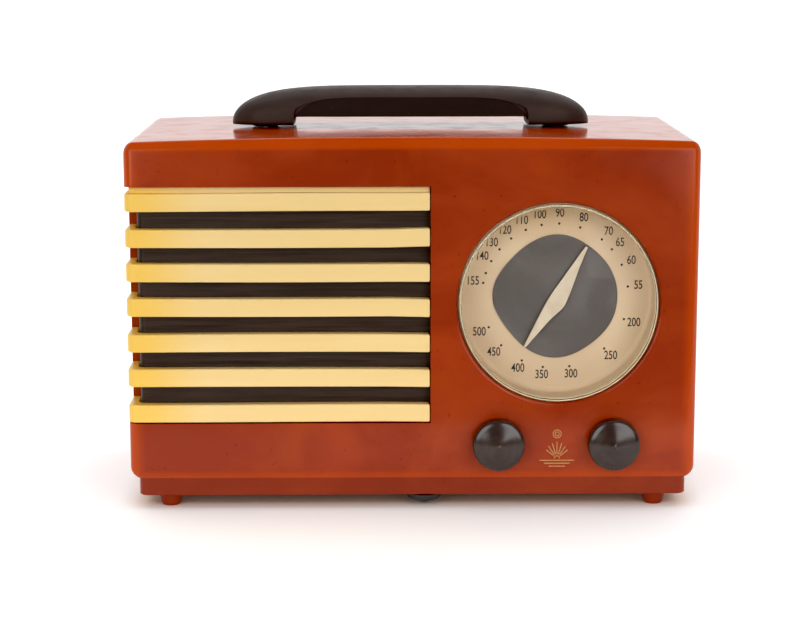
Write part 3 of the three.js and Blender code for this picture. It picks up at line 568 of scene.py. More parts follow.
# Two tones, roughness, grain size, grain strength, and for the laminated core its depth and stretch.
PLAIN = {
    "cone_paper": ((0.035, 0.03, 0.026), (0.07, 0.06, 0.05), 0.85, 500, 0.3),
    "magnet_paint": ((0.02, 0.022, 0.025), (0.04, 0.042, 0.045), 0.35, 260, 0.1),
    "core_iron": ((0.06, 0.052, 0.045), (0.11, 0.09, 0.075), 0.5, 900, 0.4, 0.0003, (1, 3, 0.1)),
    "valve_base": ((0.03, 0.014, 0.008), (0.055, 0.028, 0.016), 0.35, 200, 0.1),
    "socket_board": ((0.10, 0.045, 0.02), (0.16, 0.075, 0.035), 0.5, 300, 0.15),
    "rubber": ((0.014, 0.013, 0.012), (0.03, 0.028, 0.026), 0.7, 400, 0.25),
}
MATERIALS = {
    "cast_phenolic": phenolic_material(),
    "cream_phenolic": cream_material(),
    "baffle_board": baffle_material(),
    "lens": lens_material(),
    "lens_edge": lens_edge_material(),
    "dial_paint": dial_material(),
    "dial_disc": disc_material(),
    "pointer_paint": pointer_material(),
    "ink": ink_material(),
    "gilt": gilt_material(),
    "knob_plastic": knob_material(),
    "handle_plastic": handle_material(),
    "woven_cord": cord_material(),
    "valve_glass": valve_glass_material(),
    "back_board": board_material(),
    "aerial_copper": wound_material(),
    **{name: metal_material(name, *look) for name, look in METALS.items()},
    **{name: plain_material(name, *look) for name, look in PLAIN.items()},
}

# ---- Stage, lights and camera
BLACK = 0.012                     # the print's black point, in scene light


def make_camera():
    data = bpy.data.cameras.new("camera")
    data.sensor_width = 36
    data.lens = 92.5
    data.clip_end = 200
    camera = in_scene("camera", data)
    aside, away, height = -15.6, 986.3, 279
    camera.location = Vector((aside, FRONT - away, height)) * MM + MIDDLE
    down, tilt, turn = 10.26, 0.07, -0.56
    camera.rotation_euler = [math.radians(angle) for angle in (90 - down, tilt, turn)]
    bpy.context.scene.camera = camera


def area_light(name, place, target, size, energy):
    data = bpy.data.lights.new(name, "AREA")
    data.shape = "RECTANGLE"
    data.size, data.size_y = size
    data.energy = energy
    lamp = in_scene(name, data)
    lamp.location = place
    lamp.rotation_euler = (Vector(target) - Vector(place)).to_track_quat("-Z", "Y").to_euler()


def make_world():
    """A white sweep behind and above, and a dimmer room in front; plain white to the camera."""
    world = bpy.data.worlds.new("studio")
    bpy.context.scene.world = world
    world.use_nodes = True
    w = NodeWriter(world.node_tree, "Generated")
    white = (1, 1, 1, 1)
    room = w.span(w.along(1), -0.35, 0.25, 0.16, 1.1)
    lit = w.node("Background", 0, Color=white, Strength=room)
    plain = w.node("Background", 0, Color=white, Strength=1.2)
    seen = w.node("LightPath", "Is Camera Ray")
    blend = w.nodes.new("ShaderNodeMixShader")
    for index, item in enumerate((seen, lit, plain)):
        w.feed(item, blend.inputs[index])
    w.feed(blend.outputs[0], w.nodes["World Output"].inputs["Surface"])


def make_floor():
    """A pale floor that brightens with distance, with a painted shadow and a painted warm bounce under the
    radio.
    """
    mesh = bpy.data.meshes.new("floor")
    reach, near_edge = 60.0, -0.245
    corners = [(-reach, near_edge, 0), (reach, near_edge, 0), (reach, reach, 0), (-reach, reach, 0)]
    mesh.from_pydata(corners, [], [(0, 1, 2, 3)])
    floor = in_scene("floor", mesh)
    s = Shader("floor", Roughness=0.6, Emission_Color=(1, 1, 1, 1))
    x, y = s.along(0), s.along(1)
    away = s.math("SQRT", s.math("ADD", s.math("POWER", x, 2.0), s.math("POWER", y, 2.0)))
    under = s.times(s.span(s.math("ABSOLUTE", x), 0.150, 0.128), s.span(s.math("ABSOLUTE", y), 0.072, 0.050))
    # Painted shadow: the floor glows less under the radio.
    lit = s.math("SUBTRACT", 1.0, s.times(under, 0.95))
    s.to("Emission Strength", s.times(s.span(away, 0.16, 0.8, 0.26, 0.5), lit))
    plain = s.mix(s.noise(40, 2), (0.91, 0.90, 0.89), (0.94, 0.93, 0.925))
    # Painted bounce: a warm tint under the radio, as from light off the red plinth.
    s.to("Base Color", s.mix(under, plain, (0.92, 0.70, 0.53)))
    mesh.materials.append(s.material)


def make_stage():
    """The print's contrast, the floor, a soft light overhead and two windows in front."""
    view = bpy.context.scene.view_settings
    view.view_transform = "Standard"
    view.use_curve_mapping = True
    view.curve_mapping.black_level = (BLACK, BLACK, BLACK)
    view.curve_mapping.update()
    make_floor()
    area_light("overhead", (0, 0.25, 1.5), (0, 0, 0.1), (1.6, 1.2), 6)
    for name, side in (("left_window", -1), ("right_window", 1)):
        area_light(name, (side * 0.66, -1.25, 0.48), (0, 0, 0.12), (0.8, 1.0), 9.5)


make_camera()
make_world()
make_stage()

# ---- Cabinet


def crown(x):
    """Rise of the top over its ends, at x."""
    return CROWN * (1 - (x / (SIDE - 4)) ** 2)


def plan_points():
    """Round the cabinet in plan: (corner centre, normal) for the front run, then for the back."""
    inner_x, inner_y = SIDE - CORNER_R, BACK - CORNER_R
    corner_steps, stations = 8, 36
    turns = [math.radians(90 * i / corner_steps) for i in range(corner_steps + 1)]
    left = [(Vector((-inner_x, -inner_y)), Vector((-math.cos(t), -math.sin(t)))) for t in turns]
    right = [(Vector((inner_x, -inner_y)), Vector((math.sin(t), -math.cos(t)))) for t in turns]
    along = [inner_x * (2 * i / stations - 1) for i in range(1, stations)]
    middle = [(Vector((x, -inner_y)), Vector((0, -1))) for x in along]
    front = left + middle + right
    back = [(Vector((at.x, -at.y)), Vector((normal.x, -normal.y))) for at, normal in reversed(front)]
    return front + back


def drawn_in(centre, normal, side_in, front_in):
    """A plan point moved in by its own amount at the sides and at the front; corners stay round."""
    radius_x = max(CORNER_R - side_in, 0.5)
    radius_y = max(CORNER_R - front_in, 0.5)
    shift_x = side_in - (CORNER_R - radius_x)
    shift_y = front_in - (CORNER_R - radius_y)
    x = centre.x * (1 - shift_x / (SIDE - CORNER_R)) + normal.x * radius_x
    y = centre.y * (1 - shift_y / (BACK - CORNER_R)) + normal.y * radius_y
    return x, y


def cabinet_block():
    """The body's outside: rounded corners, a soft lower edge, a chamfered and crowned top."""
    points = plan_points()
    rings = []
    low_in_side, low_in_front, low_rise = 5.3, 2.6, 5.3
    for turn in quarter(5, 0):
        away = 1 - math.sin(turn)
        z = BODY_Z + low_rise * (1 - math.cos(turn))
        rings.append([(*drawn_in(*point, low_in_side * away, low_in_front * away), z) for point in points])
    top_steps, top_in_side, side_drop = 10, 4.4, 2.2
    for i in range(top_steps + 1):
        t = i / top_steps
        side_in = top_in_side * (1 - math.cos(t * math.pi / 2))
        side_up = math.sin(t * math.pi / 2)
        front_in, front_up = chamfer_at(t)
        ring = []
        for centre, normal in points:
            sideways = normal.x ** 2
            rise = crown(centre.x + normal.x * CORNER_R)
            foot = CREASE_Z + 0.5 * rise - side_drop * sideways
            height = SHOULDER_Z + rise - foot
            z = foot + height * (front_up + (side_up - front_up) * sideways)
            ring.append((*drawn_in(centre, normal, side_in, front_in), z))
        rings.append(ring)
    count = len(points)
    verts = [point for ring in rings for point in ring]
    faces = ring_walls(len(rings), count)
    for start in (0, len(verts) - count):
        end = start + count - 1
        faces += [(start + k, start + k + 1, end - k - 1, end - k) for k in range(count // 2 - 1)]
    return new_object("cabinet_shell", verts, faces)


def chamfer_at(t):
    """How far in and how far up the front chamfer has come, t running 0 to 1 from crease to top."""
    lean_in, lean_up, lean_end, roll_in = 1.5, 0.76, 0.6, 1.4
    if t < lean_end:
        return lean_in * t / lean_end, lean_up * t / lean_end
    turn = (t - lean_end) / (1 - lean_end) * math.pi / 2
    return lean_in + roll_in * (1 - math.cos(turn)), lean_up + (1 - lean_up) * math.sin(turn)


def plinth_and_feet():
    side, lap = 4.1, 2
    outline = rounded_rect(-SIDE + side, SIDE - side, FRONT + 1.4, BACK - 4, CORNER_R)
    plinth = slab("plinth", outline, BASE_Z, BODY_Z + lap, 0.8, ends=(True, False))
    flare = 6.5
    foot = [(0, 0), (3.4, 0), (4.4, 0.3), (4.9, 1.1), (5.1, 2.2), (5.4, 3.6), (5.9, 5), (flare, BASE_Z - 0.4),
            (flare, BASE_Z + lap), (0, BASE_Z + lap)]
    places = [(x, y, 0) for y in (-60, 60) for x in (-120.5, 120.5)]
    return [plinth, *[turned(f"foot_{i}", foot, place, "Z", 48) for i, place in enumerate(places)]]


def dial_opening():
    """The round opening in the face, with a rounded lip."""
    lip = 1.8
    rim = [(HOLE_R, FRONT + WALL + 1), (HOLE_R, FRONT + lip)]
    rim += [(HOLE_R + lip * (1 - math.cos(t)), FRONT + lip - lip * math.sin(t)) for t in quarter(6)]
    rim += [(HOLE_R + lip, FRONT - 1)]
    return turned("window", rim, DIAL, "Y", 128)


def cabinet():
    body = cabinet_block()
    combine(body, plinth_and_feet(), "UNION")
    floor_z, ceiling_z = BODY_Z + WALL, 177
    inside = rounded_rect(-SIDE + WALL, SIDE - WALL, floor_z, ceiling_z, 3)
    cavity = slab("cavity", inside, -BACK - 1, -FRONT - WALL, axis="Y")
    grille_low, grille_high, wrap = 43.3, 160.4, 22
    grille_right = cad("grille_bar_1")[1].x + 0.5
    notch = box("notch", -SIDE - 2, grille_right, FRONT - 2, FRONT + wrap, grille_low, grille_high)
    shaft_hole = [(4, FRONT - 1), (4, FRONT + WALL + 1)]
    holes = [turned(f"hole_{node}", shaft_hole, middle_of(node), "Y", 32) for node in KNOBS]
    combine(body, [cavity, notch, dial_opening(), *holes], "DIFFERENCE")
    soften(body, 0.6)
    settle(body, "cast_phenolic", replaces=["cabinet"])


# ---- Grille
BAR_EDGE = 0.9
BAR_HEIGHT = 9
BAR_COUNT = 7


def angle_outline(right, left, front, thickness, leg, end, outer_r, inner_r, across=22):
    """An angle in plan: along the front from its right end, round the left corner and back."""
    inside = left + leg
    bend = inside + inner_r
    outline = [
        *[(right + (left + outer_r - right) * i / across, front) for i in range(across)],
        *reversed(arc(left + outer_r, front + outer_r, outer_r, 180, 270, 8)),
        *[(left, front + outer_r + (end - front - outer_r) * i / 4) for i in range(1, 4)],
        (left, end),
        (inside, end),
        *arc(bend, front + thickness + inner_r, inner_r, 180, 270, 6),
        *[(bend + (right - bend) * i / across, front + thickness) for i in range(1, across + 1)],
    ]
    return outline[::-1]


def grille_bars():
    """Seven louvres; each is a little out of true, as old castings are."""
    draw = random.Random(7)
    drift = (0.1, 0.4, 0.3, 0.5, 0.1, -0.5, -0.2)
    for index in range(1, BAR_COUNT + 1):
        node = f"grille_bar_{index}"
        low, high = cad(node)
        outline = angle_outline(high.x, low.x, FRONT, 6, 4.7, high.y, 4, 3.8)
        bar = slab(node + "_louvre", outline, low.z, low.z + BAR_HEIGHT, BAR_EDGE, steps=4)
        phase, swing = draw.uniform(0, 6.28), draw.uniform(0.1, 0.22)
        for vert in bar.data.vertices:
            x = vert.co.x
            wave = math.sin(x / 34 + phase) * swing + drift[index - 1]
            vert.co.z += wave * min(1.0, (high.x - x) / 20)
        if index == BAR_COUNT:
            outline = angle_outline(high.x, low.x + 2.2, FRONT + 2.6, 3.4, 2.5, high.y, 2, 3.8)
            combine(bar, [slab("tongue", outline, low.z + 4, high.z, 0.4)], "UNION")
        settle(bar, "cream_phenolic", replaces=[node])


def baffle():
    """The dark board behind the louvres, rounded at the corner, with a sound slot behind each of the five
    middle bars.
    """
    low, high = cad("grille_baffle")
    front = FRONT + 6.3
    outline = angle_outline(high.x, low.x, front, 3, 3, high.y, 3.5, 1, across=10)
    board = slab("baffle_board", outline, low.z, high.z, 0.3)
    slots = []
    for index in range(2, BAR_COUNT):
        z = middle_of(f"grille_bar_{index}").z
        x = middle_of("speaker_magnet").x
        half = 42 if index == 4 else 36
        slots.append(box(f"slot_{index}", x - half, x + half, front - 1, front + 4, z - 3, z + 3))
    combine(board, slots, "DIFFERENCE")
    soften(board, 0.25, 2)
    settle(board, "baffle_board", replaces=["grille_baffle"])


# ---- Dial
PLATE_BACK = cad("dial_pan")[1].y
PLATE_Y = PLATE_BACK - 1.4        # the printed side of the scale plate
PRINT_Y = PLATE_Y - 0.04
DISC_Y = -49.0


def lens():
    """A thin domed window with a round turned edge, on a ring that seats it, coloured cream as a painted
    highlight along the lens's rim.
    """
    low, high = cad("dial_lens")
    apex, back, radius = low.y, high.y, HOLE_R - 0.8
    thick, edge_r, bow = 0.8, 2.2, 3.4
    flat, steps = radius - edge_r, 28

    def dome(inward):
        """Section from the middle out, at a depth inward from the outer surface."""
        run = [(flat * i / steps, apex + inward + bow * (i / steps) ** 2.1) for i in range(steps + 1)]
        bend = edge_r - inward
        run += [(flat + bend * math.sin(t), apex + bow + edge_r - bend * math.cos(t)) for t in quarter(12)]
        return run

    seat = FRONT + 1.6
    inner_r = radius - thick
    section = [*dome(0), (radius, seat), (inner_r, seat), *reversed(dome(thick))]
    piece = turned("lens_dome", section, DIAL, "Y", 160)
    # Painted highlight: the seating ring is cream so the lens's rim reads as lit.
    edge = [(inner_r, seat + 0.02), (radius, seat + 0.02), (radius, back - 0.2), (radius - 0.2, back),
            (inner_r, back)]
    rim = turned("lens_rim_painted_highlight", edge, DIAL, "Y", 160, closed=True)
    settle(rim, "lens_edge")
    settle(piece, "lens", replaces=["dial_lens"], sharp=60, weighted=False)


def pan():
    """The pressed scale plate, rounded into its side wall, with a turned flange."""
    low, high = cad("dial_pan")
    rim, inner, bend, hole = low.y, HOLE_R - 0.7, 2.5, 2.4
    wall, flange = 1.2, 4
    profile = [(hole, PLATE_Y), (inner - bend, PLATE_Y)]
    profile += [(inner - bend + bend * math.sin(t), PLATE_Y - bend * (1 - math.cos(t))) for t in quarter(6)]
    profile += [(inner, rim), (inner + flange, rim), (inner + flange, rim + wall), (inner + wall, rim + wall),
                (inner + wall, high.y), (hole, high.y)]
    piece = turned("scale_plate", profile, DIAL, "Y", 144, closed=True)
    settle(piece, "dial_paint", replaces=["dial_pan"])


def on_dial(degrees, radius):
    """A place on the dial, degrees clockwise from the top."""
    turn = math.radians(degrees)
    return DIAL.x + radius * math.sin(turn), DIAL.z + radius * math.cos(turn)


# Tens of kilocycles from 155 round to 55, then metres below, each with its degrees from the top.
KILOCYCLES = {155: -79.3, 140: -61, 130: -49.7, 120: -37.3, 110: -24.1, 100: -11.2, 90: 2.6, 80: 19.3,
              70: 38.8, 65: 49.9, 60: 64.5, 55: 82.5}
METRES = {200: 108.8, 250: 137, 300: 168, 350: 189, 400: 206.5, 450: 227, 500: 244.5}
LONE_DOT = -71.3                  # the dot between 155 and 140 has no figure
DOT_R = 36.5
NUMBER_HEIGHT = 4.4


def figure(number, x, z):
    """One printed number as a thin raised mesh, narrow in its letters."""
    curve = bpy.data.curves.new(f"figure_{number}", "FONT")
    curve.body = str(number)
    curve.size = NUMBER_HEIGHT * 1.4
    curve.align_x, curve.align_y = "CENTER", "CENTER"
    curve.extrude = 0.02
    curve.offset = 0.075
    text = in_scene(f"figure_{number}", curve)
    bpy.context.view_layer.update()
    mesh = bpy.data.meshes.new_from_object(text)
    bpy.data.objects.remove(text)
    upright = Matrix.Rotation(math.pi / 2, 4, "X") @ Matrix.Diagonal((0.72, 1, 1, 1))
    mesh.transform(Matrix.Translation((x, PRINT_Y, z)) @ upright)
    return mesh


def dial_print():
    """The printed scale: one thin raised mesh of figures, and one of dots."""
    figures = []
    for number, degrees in {**KILOCYCLES, **METRES}.items():
        below = max(0.0, -math.cos(math.radians(degrees)))
        figures.append(figure(number, *on_dial(degrees, DOT_R + 5.3 - 1.5 * below ** 4)))
    settle(merged("dial_figures", figures), "ink", weighted=False)
    dots = []
    for degrees in [*KILOCYCLES.values(), LONE_DOT, *METRES.values()]:
        x, z = on_dial(degrees, DOT_R)
        dot = turned("dot", [(0.55, PRINT_Y - 0.03), (0.62, PRINT_Y)], (x, 0, z), "Y", 20)
        dots.append(dot.data)
        bpy.data.objects.remove(dot)
    settle(merged("dial_dots", dots), "ink", weighted=False)


def merged(name, meshes):
    work = bmesh.new()
    for mesh in meshes:
        work.from_mesh(mesh)
        bpy.data.meshes.remove(mesh)
    mesh = bpy.data.meshes.new(name)
    bmesh.ops.recalc_face_normals(work, faces=work.faces)
    work.to_mesh(mesh)
    work.free()
    return in_scene(name, mesh)


def disc():
    """The card disc: not quite round, and slightly cockled."""
    draw = random.Random(3)
    rings, segments, radius, hole = 14, 120, 31.1, 1.8
    waves = [(draw.uniform(0, 6.28), draw.uniform(0.5, 1.0)) for _ in range(5)]

    def edge(turn):
        squareness = 0.010 + 0.030 * (1 - math.cos(turn)) / 2
        return radius * (1 - squareness * (1 - math.cos(4 * turn + 0.2)) - 0.003 * math.cos(7 * turn))

    def cockle(r, turn):
        height = sum(size * math.sin((i + 2) * turn + phase) for i, (phase, size) in enumerate(waves))
        return 0.07 * height * (r / radius) ** 1.5 * (1 - (r / radius) ** 4 * 0.6)

    def ring(r, y):
        points = []
        for turn in (2 * math.pi * i / segments for i in range(segments)):
            out = r * edge(turn) / radius
            place = (DIAL.x + out * math.cos(turn), y + cockle(r, turn), DIAL.z + out * math.sin(turn))
            points.append(Vector(place))
        return points

    radii = [hole + (radius - hole) * k / rings for k in range(rings + 1)]
    front = [ring(r, DISC_Y + 0.15) for r in radii]
    back = [ring(r, DISC_Y + 0.6) for r in reversed(radii)]
    piece = stack("disc_card", [*front, *back, front[0]], closed_ends=False)
    settle(piece, "dial_disc", replaces=["dial_centre_disc"])


def pointer():
    """A flat two-ended needle, fuller on one side, with a broken edge, on a short collar."""
    low, high = cad("dial_pointer")
    length, turn = 29.3, math.radians(31)
    right = [(0.55, -length), (1.8, -22), (3.6, -11.5), (5.7, -4.2), (6.1, -1.5), (5.9, 0.8), (4.6, 8.5),
             (2.4, 19), (0.75, length)]
    left = [(-0.55, length), (-1.1, 22), (-1.9, 9), (-2.5, 1), (-2.3, -8), (-1.3, -20), (-0.5, -length)]
    along, across = math.cos(turn), math.sin(turn)
    outline = [(DIAL.x + u * along + v * across, DIAL.z - u * across + v * along)
               for u, v in curve_through(right, 5) + curve_through(left, 5)]
    back = low.y + 0.8
    needle = slab("pointer_needle", outline, -back, -low.y, 0.22, axis="Y", ends=(False, True))
    bore, sleeve = 1.5, 2.3
    section = [(bore, back - 0.3), (sleeve - 0.2, back - 0.3), (sleeve, back), (sleeve, high.y),
               (bore, high.y)]
    combine(needle, [turned("collar", section, DIAL, "Y", 48, closed=True)], "UNION")
    settle(needle, "pointer_paint", "dial_drive", replaces=["dial_pointer"])


def dial_shaft():
    low, high = cad("dial_shaft")
    shoulder, stud, radius = PLATE_BACK + 0.4, 1.2, 3
    profile = [(0, low.y), (stud - 0.3, low.y), (stud, low.y + 0.3), (stud, shoulder),
               (radius - 0.4, shoulder), (radius, shoulder + 0.4), (radius, high.y - 0.5),
               (radius - 0.5, high.y), (0, high.y)]
    piece = turned("dial_arbor", profile, DIAL, "Y", 64)
    settle(piece, "brass", "dial_drive", replaces=["dial_shaft"])


def curve_through(points, steps):
    """A Catmull-Rom run through the points, its ends kept."""
    padded = [points[0], *points, points[-1]]
    run = []
    for i in range(len(points) - 1):
        a, b, c, d = (Vector(p) for p in padded[i:i + 4])
        for k in range(steps):
            t = k / steps
            run.append(tuple(0.5 * (2 * b + (c - a) * t + (2 * a - 5 * b + 4 * c - d) * t * t
                                    + (3 * b - a - 3 * c + d) * t ** 3)))
    run.append(tuple(points[-1]))
    return run


# ---- Knobs


def knob_section(radius, apex, back):
    """A shallow dome with a small pip, a rounded rim, and a blind hole for the shaft."""
    face, rim, pip, bore, steps = apex + 2.2, 1.9, 0.6, 3.4, 14
    section = [(0, apex), (0.25, apex + 0.03), (pip, apex + 0.2)]
    for t in (i / steps for i in range(1, steps + 1)):
        section.append((pip + (radius - rim - pip) * t, apex + 0.28 + 1.7 * t ** 1.5))
    section += [(radius - rim + rim * math.sin(t), face + 1.5 - 1.55 * math.cos(t)) for t in quarter(7)]
    return section + [(radius, back - 1.6), (radius - 0.25, back - 0.6), (radius - 0.9, back), (bore, back),
                      (bore, face + 2), (0, face + 2)]


def knobs():
    for node, body in KNOBS.items():
        low, high = cad(node)
        section = knob_section((high.x - low.x) / 2, low.y, high.y)
        piece = turned(f"{node}_cap", section, middle_of(node), "Y", 128)
        settle(piece, "knob_plastic", body, replaces=[node], sharp=50, weighted=False)


# ---- Handle


def grip_ring(x, foot, ridge, width):
    """The grip's section at x: a domed top over a belly that tucks in to a flat foot."""
    belly = 4.5 * min(1, (ridge - foot) / 9)
    around = 48
    ring = []
    for k in range(around):
        turn = 2 * math.pi * k / around
        across, up = math.cos(turn), math.sin(turn)
        if up >= 0:
            y = width * math.copysign(abs(across) ** 0.62, across)
            z = foot + belly + (ridge - foot - belly) * abs(up) ** 0.9
        else:
            y = width * math.copysign(abs(across) ** 0.3, across)
            z = foot + belly - belly * abs(up) ** 0.45
        ring.append((x, y, z))
    return ring


def mirrored(half_run, steps):
    """A smooth outline from its right half."""
    right = curve_through(half_run, steps)
    return right + [(-u, v) for u, v in reversed(right)]


def handle():
    """A moulded grip: oval in plan, domed in section, scooped along both sides underneath."""
    low, high = cad("handle")
    half, half_depth, foot, top = high.x, high.y, low.z, high.z
    end, lip, under, stations, side_rise = SCOOP_END, SCOOP_LIP, 189.5, 120, 1.8
    rings = []
    for i in range(stations + 1):
        x = -half * math.cos(math.pi * i / stations) * 0.9995
        reach = min(1.0, abs(x) / half)
        ridge = foot + side_rise + (top - foot - side_rise) * (1 - reach ** 4.5) ** 0.5
        width = half_depth * max(0.02, 1 - reach ** 9) ** 0.5
        rings.append(grip_ring(x, foot, ridge, width))
    bar = stack("handle_grip", rings)
    arch = mirrored([
        (end, foot - 2), (end, under - 2.4), (end - 0.2, under + 2), (end - 1.9, lip - 5),
        (end - 10.3, lip - 2.1), (end - 20, lip - 0.9), (26, lip), (8, lip)], 6)
    gap = mirrored([
        (end, foot - 2), (end, under - 2.6), (end - 0.8, under - 0.7), (end - 2.6, under), (40, under)], 5)
    wall, clear = half_depth - 3.0, half_depth + 3
    combine(bar, [
        slab("scoop_front", arch, wall, clear, axis="Y"),
        slab("scoop_back", arch, -clear, -wall, axis="Y"),
        slab("gap", gap, -clear, clear, axis="Y"),
    ], "DIFFERENCE")
    soften(bar, 0.7, 3, 38)
    settle(bar, "handle_plastic", replaces=["handle"])


def bosses():
    bore, radius, edge = 2.4, 7, 0.4
    for side in ("left", "right"):
        node = f"handle_boss_{side}"
        low, high = cad(node)
        profile = [(bore, low.z), (radius - 0.5, low.z), (radius, low.z + edge), (radius, high.z - edge),
                   (radius - 0.5, high.z), (bore, high.z)]
        piece = turned(f"boss_{side}", profile, middle_of(node), "Z", 64, closed=True)
        settle(piece, "handle_plastic", replaces=[node])


# ---- Ornament


def ornament():
    """A thin gilt fan between the knobs: seven rays over a stepped base, and two rings above them."""
    middle_x, foot_z = DIAL.x, middle_of("tuning_knob").z - 12.5
    hub_z, rings_z = foot_z + 4.2, foot_z + 16.6
    surface = FRONT - 0.05
    meshes = []

    def stroke(points, width):
        piece = slab("stroke", ribbon(points, width), -FRONT - 0.02, -surface, axis="Y")
        meshes.append(piece.data)
        bpy.data.objects.remove(piece)

    for index in range(-3, 4):
        turn = math.radians(index * 17)
        reach = 8.5 - 0.55 * abs(index)
        stroke([(middle_x + r * math.sin(turn), hub_z + r * math.cos(turn)) for r in (2.2, reach)], 0.42)
    stroke(arc(middle_x, hub_z, 1.3, 0, 180, 16), 0.45)
    for step, half in enumerate((8.6, 6.4, 4.0)):
        z = foot_z + 3.2 - 1.5 * step
        stroke([(middle_x - half, z), (middle_x + half, z)], 0.45)
    stroke(arc(middle_x, rings_z, 2.0, 0, 360, 40), 0.4)
    stroke(arc(middle_x, rings_z, 1.0, 0, 360, 28), 0.4)
    settle(merged("front_ornament", meshes), "gilt", weighted=False)


def ribbon(points, width):
    """An outline that follows points at the given width; closed runs overlap by a hair."""
    left, right = [], []
    for i, point in enumerate(points):
        before = Vector(points[max(i - 1, 0)])
        after = Vector(points[min(i + 1, len(points) - 1)])
        along = (after - before).normalized()
        across = Vector((-along.y, along.x)) * width / 2
        left.append(tuple(Vector(point) + across))
        right.append(tuple(Vector(point) - across))
    return left + right[::-1]


# ---- Back and underside


def back_cover():
    low, high = cad("back_cover")
    outline = rounded_rect(low.x, high.x, low.z, high.z, 3)
    plate = slab("back_board", outline, -high.y, -low.y, 0.35, "Y", 2)
    half, slit, first_z = 15, 4, 124
    cutters = []
    for x in (42 * column for column in range(-2, 3)):
        for z in (first_z + 12 * row for row in range(3)):
            vent = rounded_rect(x - half, x + half, z, z + slit, 1.95, 5)
            cutters.append(slab("vent", vent, -high.y - 1, -low.y + 1, axis="Y"))
    cord_hole, screw_hole = ([(radius, low.y - 1), (radius, high.y + 1)] for radius in (6, 1.9))
    cutters.append(turned("cord_hole", cord_hole, middle_of("cord_grommet"), "Y", 48))
    for index in range(1, 5):
        cutters.append(turned("screw_hole", screw_hole, middle_of(f"back_screw_{index}"), "Y", 24))
    combine(plate, cutters, "DIFFERENCE")
    soften(plate, 0.25, 2)
    settle(plate, "back_board", replaces=["back_cover"])


def driver_slot(centre, depth, axis):
    """A cutter for the slot in a screw's head, along X, between two depths on the screw's axis."""
    half, side = 4, 0.4
    if axis == "Y":
        return box("groove", centre.x - half, centre.x + half, *depth, centre.z - side, centre.z + side)
    return box("groove", centre.x - half, centre.x + half, centre.y - side, centre.y + side, *depth)


def slotted_screw(node):
    """A domed head with a driver's slot, on a threaded shank."""
    low, high = cad(node)
    centre = middle_of(node)
    outside = high.y - 1.9
    head_r, root, crest, pitch = 3.4, 1.05, 1.4, 0.7
    dome = [(head_r * math.cos(t), outside + 0.3 + 1.55 * math.sin(t)) for t in quarter(8, 0)]
    shank = [(0, low.y), (1.0, low.y)]
    y = low.y + 0.4
    while y < outside - 0.6:
        shank += [(root, y), (crest, y + pitch / 2)]
        y += pitch
    profile = [*shank, (crest, outside), (3.2, outside), (head_r, outside + 0.2), *dome[1:-1],
               (0, high.y - 0.05)]
    piece = turned(f"{node}_slotted", profile, centre, "Y", 48)
    combine(piece, [driver_slot(centre, (high.y - 0.9, high.y + 1), "Y")], "DIFFERENCE")
    soften(piece, 0.08, 1, 50)
    settle(piece, "brass", replaces=[node], sharp=40)


def grommet():
    low, high = cad("cord_grommet")
    near, far = low.y + 1.6, high.y - 1.2
    bore, neck, flange, lip = 3.2, 5.7, 7.8, 2.2
    profile = [(bore, low.y + 0.6), (bore + 0.7, low.y), (flange - 0.6, low.y), (flange, low.y + 0.6),
               (flange, near), (neck, near), (neck, far), (flange, far)]
    profile += [(flange - lip + lip * math.cos(t), far + 1.2 * math.sin(t)) for t in quarter(6)]
    profile += [(bore + 0.8, high.y), (bore + 0.2, high.y - 0.3), (bore, high.y - 0.8)]
    piece = turned("grommet_ring", profile, middle_of("cord_grommet"), "Y", 64, closed=True)
    settle(piece, "rubber", replaces=["cord_grommet"])


def base_bolts():
    """A shallow cup washer and a slotted bolt head under the base."""
    head, cup, reach, shank = 3.0, 5.8, 2.9, 2
    for node in ("base_bolt_front", "base_bolt_rear"):
        low, high = cad(node)
        centre = middle_of(node)
        under = low.z + 4.8
        profile = [(0, low.z), (head - 0.4, low.z), (head, low.z + 0.4), (head, under - 3.4),
                   (cup, under - 3.4)]
        profile += [(cup + reach * math.sin(t), under - 0.4 - 3.0 * math.cos(t)) for t in quarter(7)]
        profile += [(cup + reach, under), (shank, under), (shank, high.z - 0.5), (shank - 0.4, high.z),
                    (0, high.z)]
        piece = turned(f"{node}_cup", profile, centre, "Z", 72)
        combine(piece, [driver_slot(centre, (low.z - 1, low.z + 0.8), "Z")], "DIFFERENCE")
        settle(piece, "rubber", replaces=[node], sharp=40)


# ---- The works


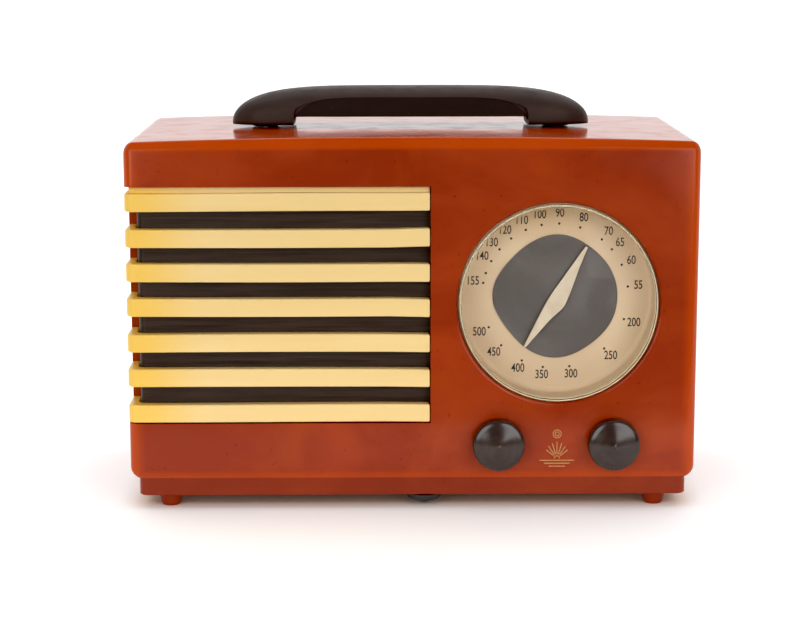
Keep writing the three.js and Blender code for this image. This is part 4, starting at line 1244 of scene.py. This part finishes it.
def bulb(inward, base_top, shoulder, top):
    """Section of a valve's glass, at a depth inward: a neck that swells, a wall and a domed end."""
    neck, wide, cap = 13.1, 15, 6.5
    run = [(neck - inward, base_top - 0.7), (neck - inward, base_top + 1)]
    run += [(neck + 1.9 * (1 - math.cos(t)) / 2 - inward, base_top + 1 + 6 * t / math.pi)
            for t in quarter(6, sweep=math.pi)]
    run += [(wide - inward, shoulder)]
    run += [(wide - cap + cap * math.cos(t) - inward, shoulder + (11 - inward) * math.sin(t))
            for t in quarter(7)[:-1]]
    return run + [(cap - inward, top - 4.5 - inward), (3.2, top - 1.6 - inward)]


def valves():
    """Octal valves: a moulded base with its rim, a blown bulb, and the plates inside the glass."""
    rim, body, glass_seat, wall = 14.5, 14.1, 13.4, 0.8
    for index in range(1, 6):
        node = f"valve_{index}"
        low, high = cad(node)
        centre = middle_of(node)
        base_top, shoulder = low.z + 14, high.z - 16
        base = [(0, low.z), (13.6, low.z), (rim, low.z + 0.9), (rim, low.z + 1.6), (body, low.z + 2),
                (body, base_top - 1.6), (rim, base_top - 1.2), (rim, base_top), (glass_seat, base_top),
                (glass_seat, base_top - 1), (0, base_top - 1)]
        piece = turned(f"valve_base_{index}", base, centre, "Z", 64)
        settle(piece, "valve_base", replaces=[node])
        outside, inside = (bulb(inward, base_top, shoulder, high.z) for inward in (0, wall))
        glass = [*outside, (1.2, high.z - 0.3), (0, high.z), (0, high.z - wall), *reversed(inside)]
        piece = turned(f"valve_bulb_{index}", glass, centre, "Z", 64)
        settle(piece, "valve_glass", sharp=60, weighted=False)
        anode, mica = 6.5, 7.8
        plates = [(0, base_top + 3), (anode, base_top + 3), (anode, shoulder - 4), (mica, shoulder - 4),
                  (mica, shoulder - 3), (0, shoulder - 3)]
        settle(turned(f"valve_plates_{index}", plates, centre, "Z", 32), "getter")


def carried_over():
    """The inner CAD nodes keep their shapes and take a finish from their slot."""
    for part in frame["record"]["subparts"]:
        node = frame["nodes"][part["node"]]
        node.data.materials.clear()
        node.data.materials.append(MATERIALS[part["material_slot"]])


# ---- Assembly
carried_over()
cabinet()
grille_bars()
baffle()
lens()
pan()
dial_print()
disc()
pointer()
dial_shaft()
knobs()
ornament()
handle()
bosses()
back_cover()
for number in range(1, 5):
    slotted_screw(f"back_screw_{number}")
grommet()
base_bolts()
valves()
